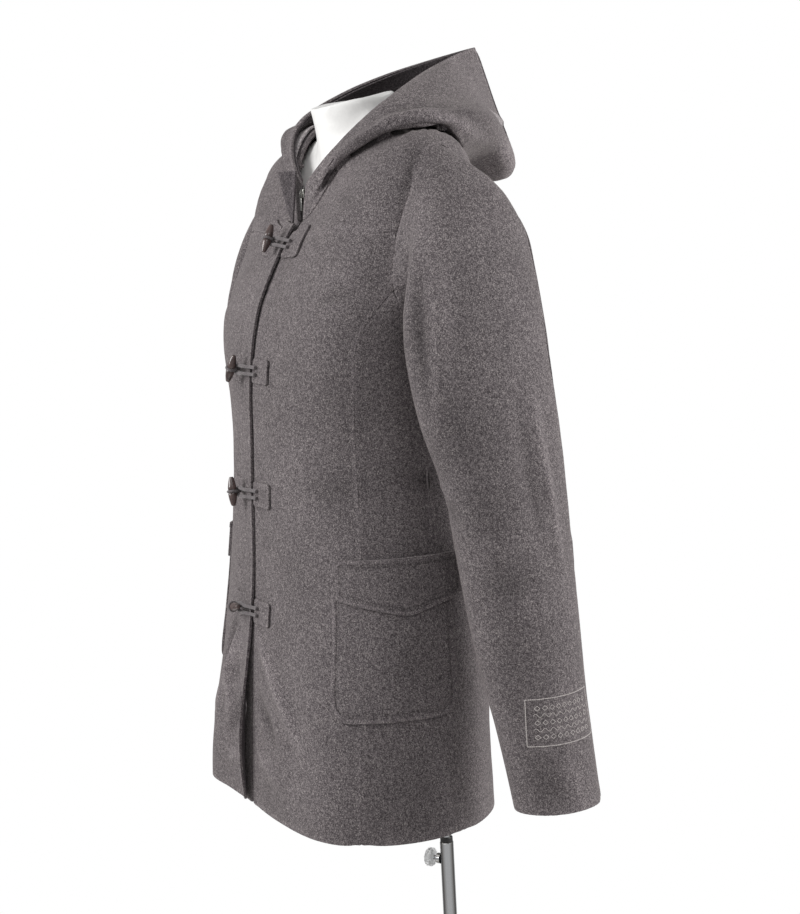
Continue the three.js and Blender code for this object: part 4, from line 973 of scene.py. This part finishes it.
def makeSlider():
    low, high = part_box("zip_slider")
    bm = bmesh.new()
    deep = (high.y - low.y) * 0.26
    roundedBox(bm, low, Vector((high.x, low.y + deep, high.z)), 0.9)
    roundedBox(bm, Vector((low.x, high.y - deep, low.z)), high, 0.9)
    neck = (high.x - low.x) * 0.36
    roundedBox(bm, Vector((low.x + neck, low.y + deep * 0.5, high.z - 5 * mm)),
               Vector((high.x - neck, high.y - deep * 0.5, high.z - 0.8 * mm)), 0.4)
    finishPiece("zip_slider_body", meshFrom(bm, "zip_slider_body"), [nickel], "coat", ["zip_slider"])


def makePull():
    low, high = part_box("zip_pull")
    bm = bmesh.new()
    roundedBox(bm, low, Vector((high.x, high.y, high.z - 7 * mm)), 0.7)
    middle = (low + high) / 2
    bar = 1.1 * mm
    for edge in (low.x, high.x - bar):
        roundedBox(bm, Vector((edge, low.y + 0.15 * mm, high.z - 8 * mm)),
                   Vector((edge + bar, high.y - 0.15 * mm, high.z - 0.6 * mm)), 0.3)
    roundedBox(bm, Vector((low.x, low.y + 0.15 * mm, high.z - 1.7 * mm)),
               Vector((high.x, high.y - 0.15 * mm, high.z)), 0.4)
    finishPiece("zip_pull_tab", meshFrom(bm, "zip_pull_tab"), [nickel], "pull", ["zip_pull"])


makeTeeth()
makeSlider()
makePull()
print("zip done")


# Stitched panel on the left sleeve: a plain frame with rows of diamonds and waves

panelLook = {
    "axis": (0.262, -0.023), "middle": 0.914, "fromTurn": 54, "toTurn": -57, "high": 47, "radius": 43,
    "rows": 5, "edge": 5.5, "frameWide": 1.1, "lineWide": 0.7,
}


def onSleeve(across, up):
    """The place and normal on the left sleeve, across 0..1 from the panel's front edge, up in mm"""
    look = panelLook
    turn = math.radians(look["fromTurn"] + (look["toTurn"] - look["fromTurn"]) * across)
    way = Vector((math.cos(turn), -math.sin(turn), 0))
    axis = Vector((*look["axis"], look["middle"] + up * mm))
    place, normal, _, _ = sleeveTree.ray_cast(axis + way * 0.08, -way)
    return place, normal


def sewLine(bm, spots, wide):
    places = [onSleeve(*spot) for spot in spots]
    for (a, up), (b, _) in zip(places, places[1:]):
        stitch(bm, (a + b) / 2, (b - a).normalized(), up, (b - a).length / mm * 1.15, 0.6, wide)


def makeSleevePanel():
    look = panelLook
    bm = bmesh.new()
    half = look["high"] / 2
    span = abs(math.radians(look["toTurn"] - look["fromTurn"])) * look["radius"]
    steps = round(span / 2)
    for up in (-half, half):
        sewLine(bm, [(k / steps, up) for k in range(steps + 1)], look["frameWide"])
    rise = round(look["high"] / 2)
    for across in (0, 1):
        sewLine(bm, [(across, half - look["high"] * k / rise) for k in range(rise + 1)], look["frameWide"])
    usable = look["high"] - 2 * look["edge"]
    for row in range(look["rows"]):
        middle = half - look["edge"] - usable * (row + 0.5) / look["rows"]
        high = usable / look["rows"] * 0.34
        if row % 2 == 0:
            count = 9
            for k in range(count):
                at = 0.08 + 0.84 * (k + 0.5) / count
                reach = 0.3 / count
                corners = [(at - reach, middle), (at, middle + high), (at + reach, middle), (at, middle - high),
                           (at - reach, middle)]
                spots = []
                for a, b in zip(corners, corners[1:]):
                    spots += [(a[0] + (b[0] - a[0]) * t / 3, a[1] + (b[1] - a[1]) * t / 3) for t in range(3)]
                sewLine(bm, spots + [corners[-1]], look["lineWide"])
        else:
            spots = [(0.08 + 0.84 * k / 72, middle + high * 0.7 * math.sin(k * math.tau / 9)) for k in range(73)]
            sewLine(bm, spots, look["lineWide"])
    finishPiece("sleeve_stitched_panel", meshFrom(bm, "sleeve_stitched_panel"), [paleThread], "coat")


sleeveTree = outerTree(walls["sleeve_left_upper"])
makeSleevePanel()
print("sleeve panel done")


# Pale floor and soft light

studio = {"floor": "#e6e5e3", "floorRadius": 1.25, "backdrop": 1.0, "around": 0.4}
# Two large soft boxes at the picture's left and right, and a weak one above
lamps = [
    {"name": "left box", "at": (-0.6, -2.6, 2.2), "size": 1.8, "power": 70},
    {"name": "right box", "at": (1.9, 2.4, 1.9), "size": 1.6, "power": 92},
    {"name": "front top", "at": (2.2, -1.0, 3.0), "size": 1.4, "power": 12},
]


def makeStudio():
    bm = bmesh.new()
    bmesh.ops.create_circle(bm, cap_ends=True, segments=96, radius=studio["floorRadius"])
    floor = newObject("floor", meshFrom(bm, "floor"), [
        speckled("painted studio floor", {"Roughness": 0.7}, [studio["floor"], studio["floor"]], 400, 0.01)])
    world = bpy.data.worlds.new("studio")
    world.use_nodes = True
    # The backdrop is seen white, and lights the coat less than that
    tree = world.node_tree
    seen = addNode(tree, "ShaderNodeLightPath")
    strength = addNode(tree, "ShaderNodeMapRange", links={"Value": seen.outputs["Is Camera Ray"]},
                       values={"To Min": studio["around"], "To Max": studio["backdrop"]})
    tree.nodes["Background"].inputs["Color"].default_value = (1, 1, 1, 1)
    tree.links.new(strength.outputs["Result"], tree.nodes["Background"].inputs["Strength"])
    bpy.context.scene.world = world
    for lamp in lamps:
        light = bpy.data.lights.new(lamp["name"], "AREA")
        light.shape = "DISK"
        light.size = lamp["size"]
        light.energy = lamp["power"]
        lampObject = bpy.data.objects.new(lamp["name"], light)
        bpy.context.collection.objects.link(lampObject)
        lampObject.location = lamp["at"]
        aim = Vector(view["lookAt"]) - Vector(lamp["at"])
        lampObject.rotation_euler = aim.to_track_quat("-Z", "Y").to_euler()
    bpy.context.scene.view_settings.view_transform = "Standard"


makeStudio()
print("studio ready")
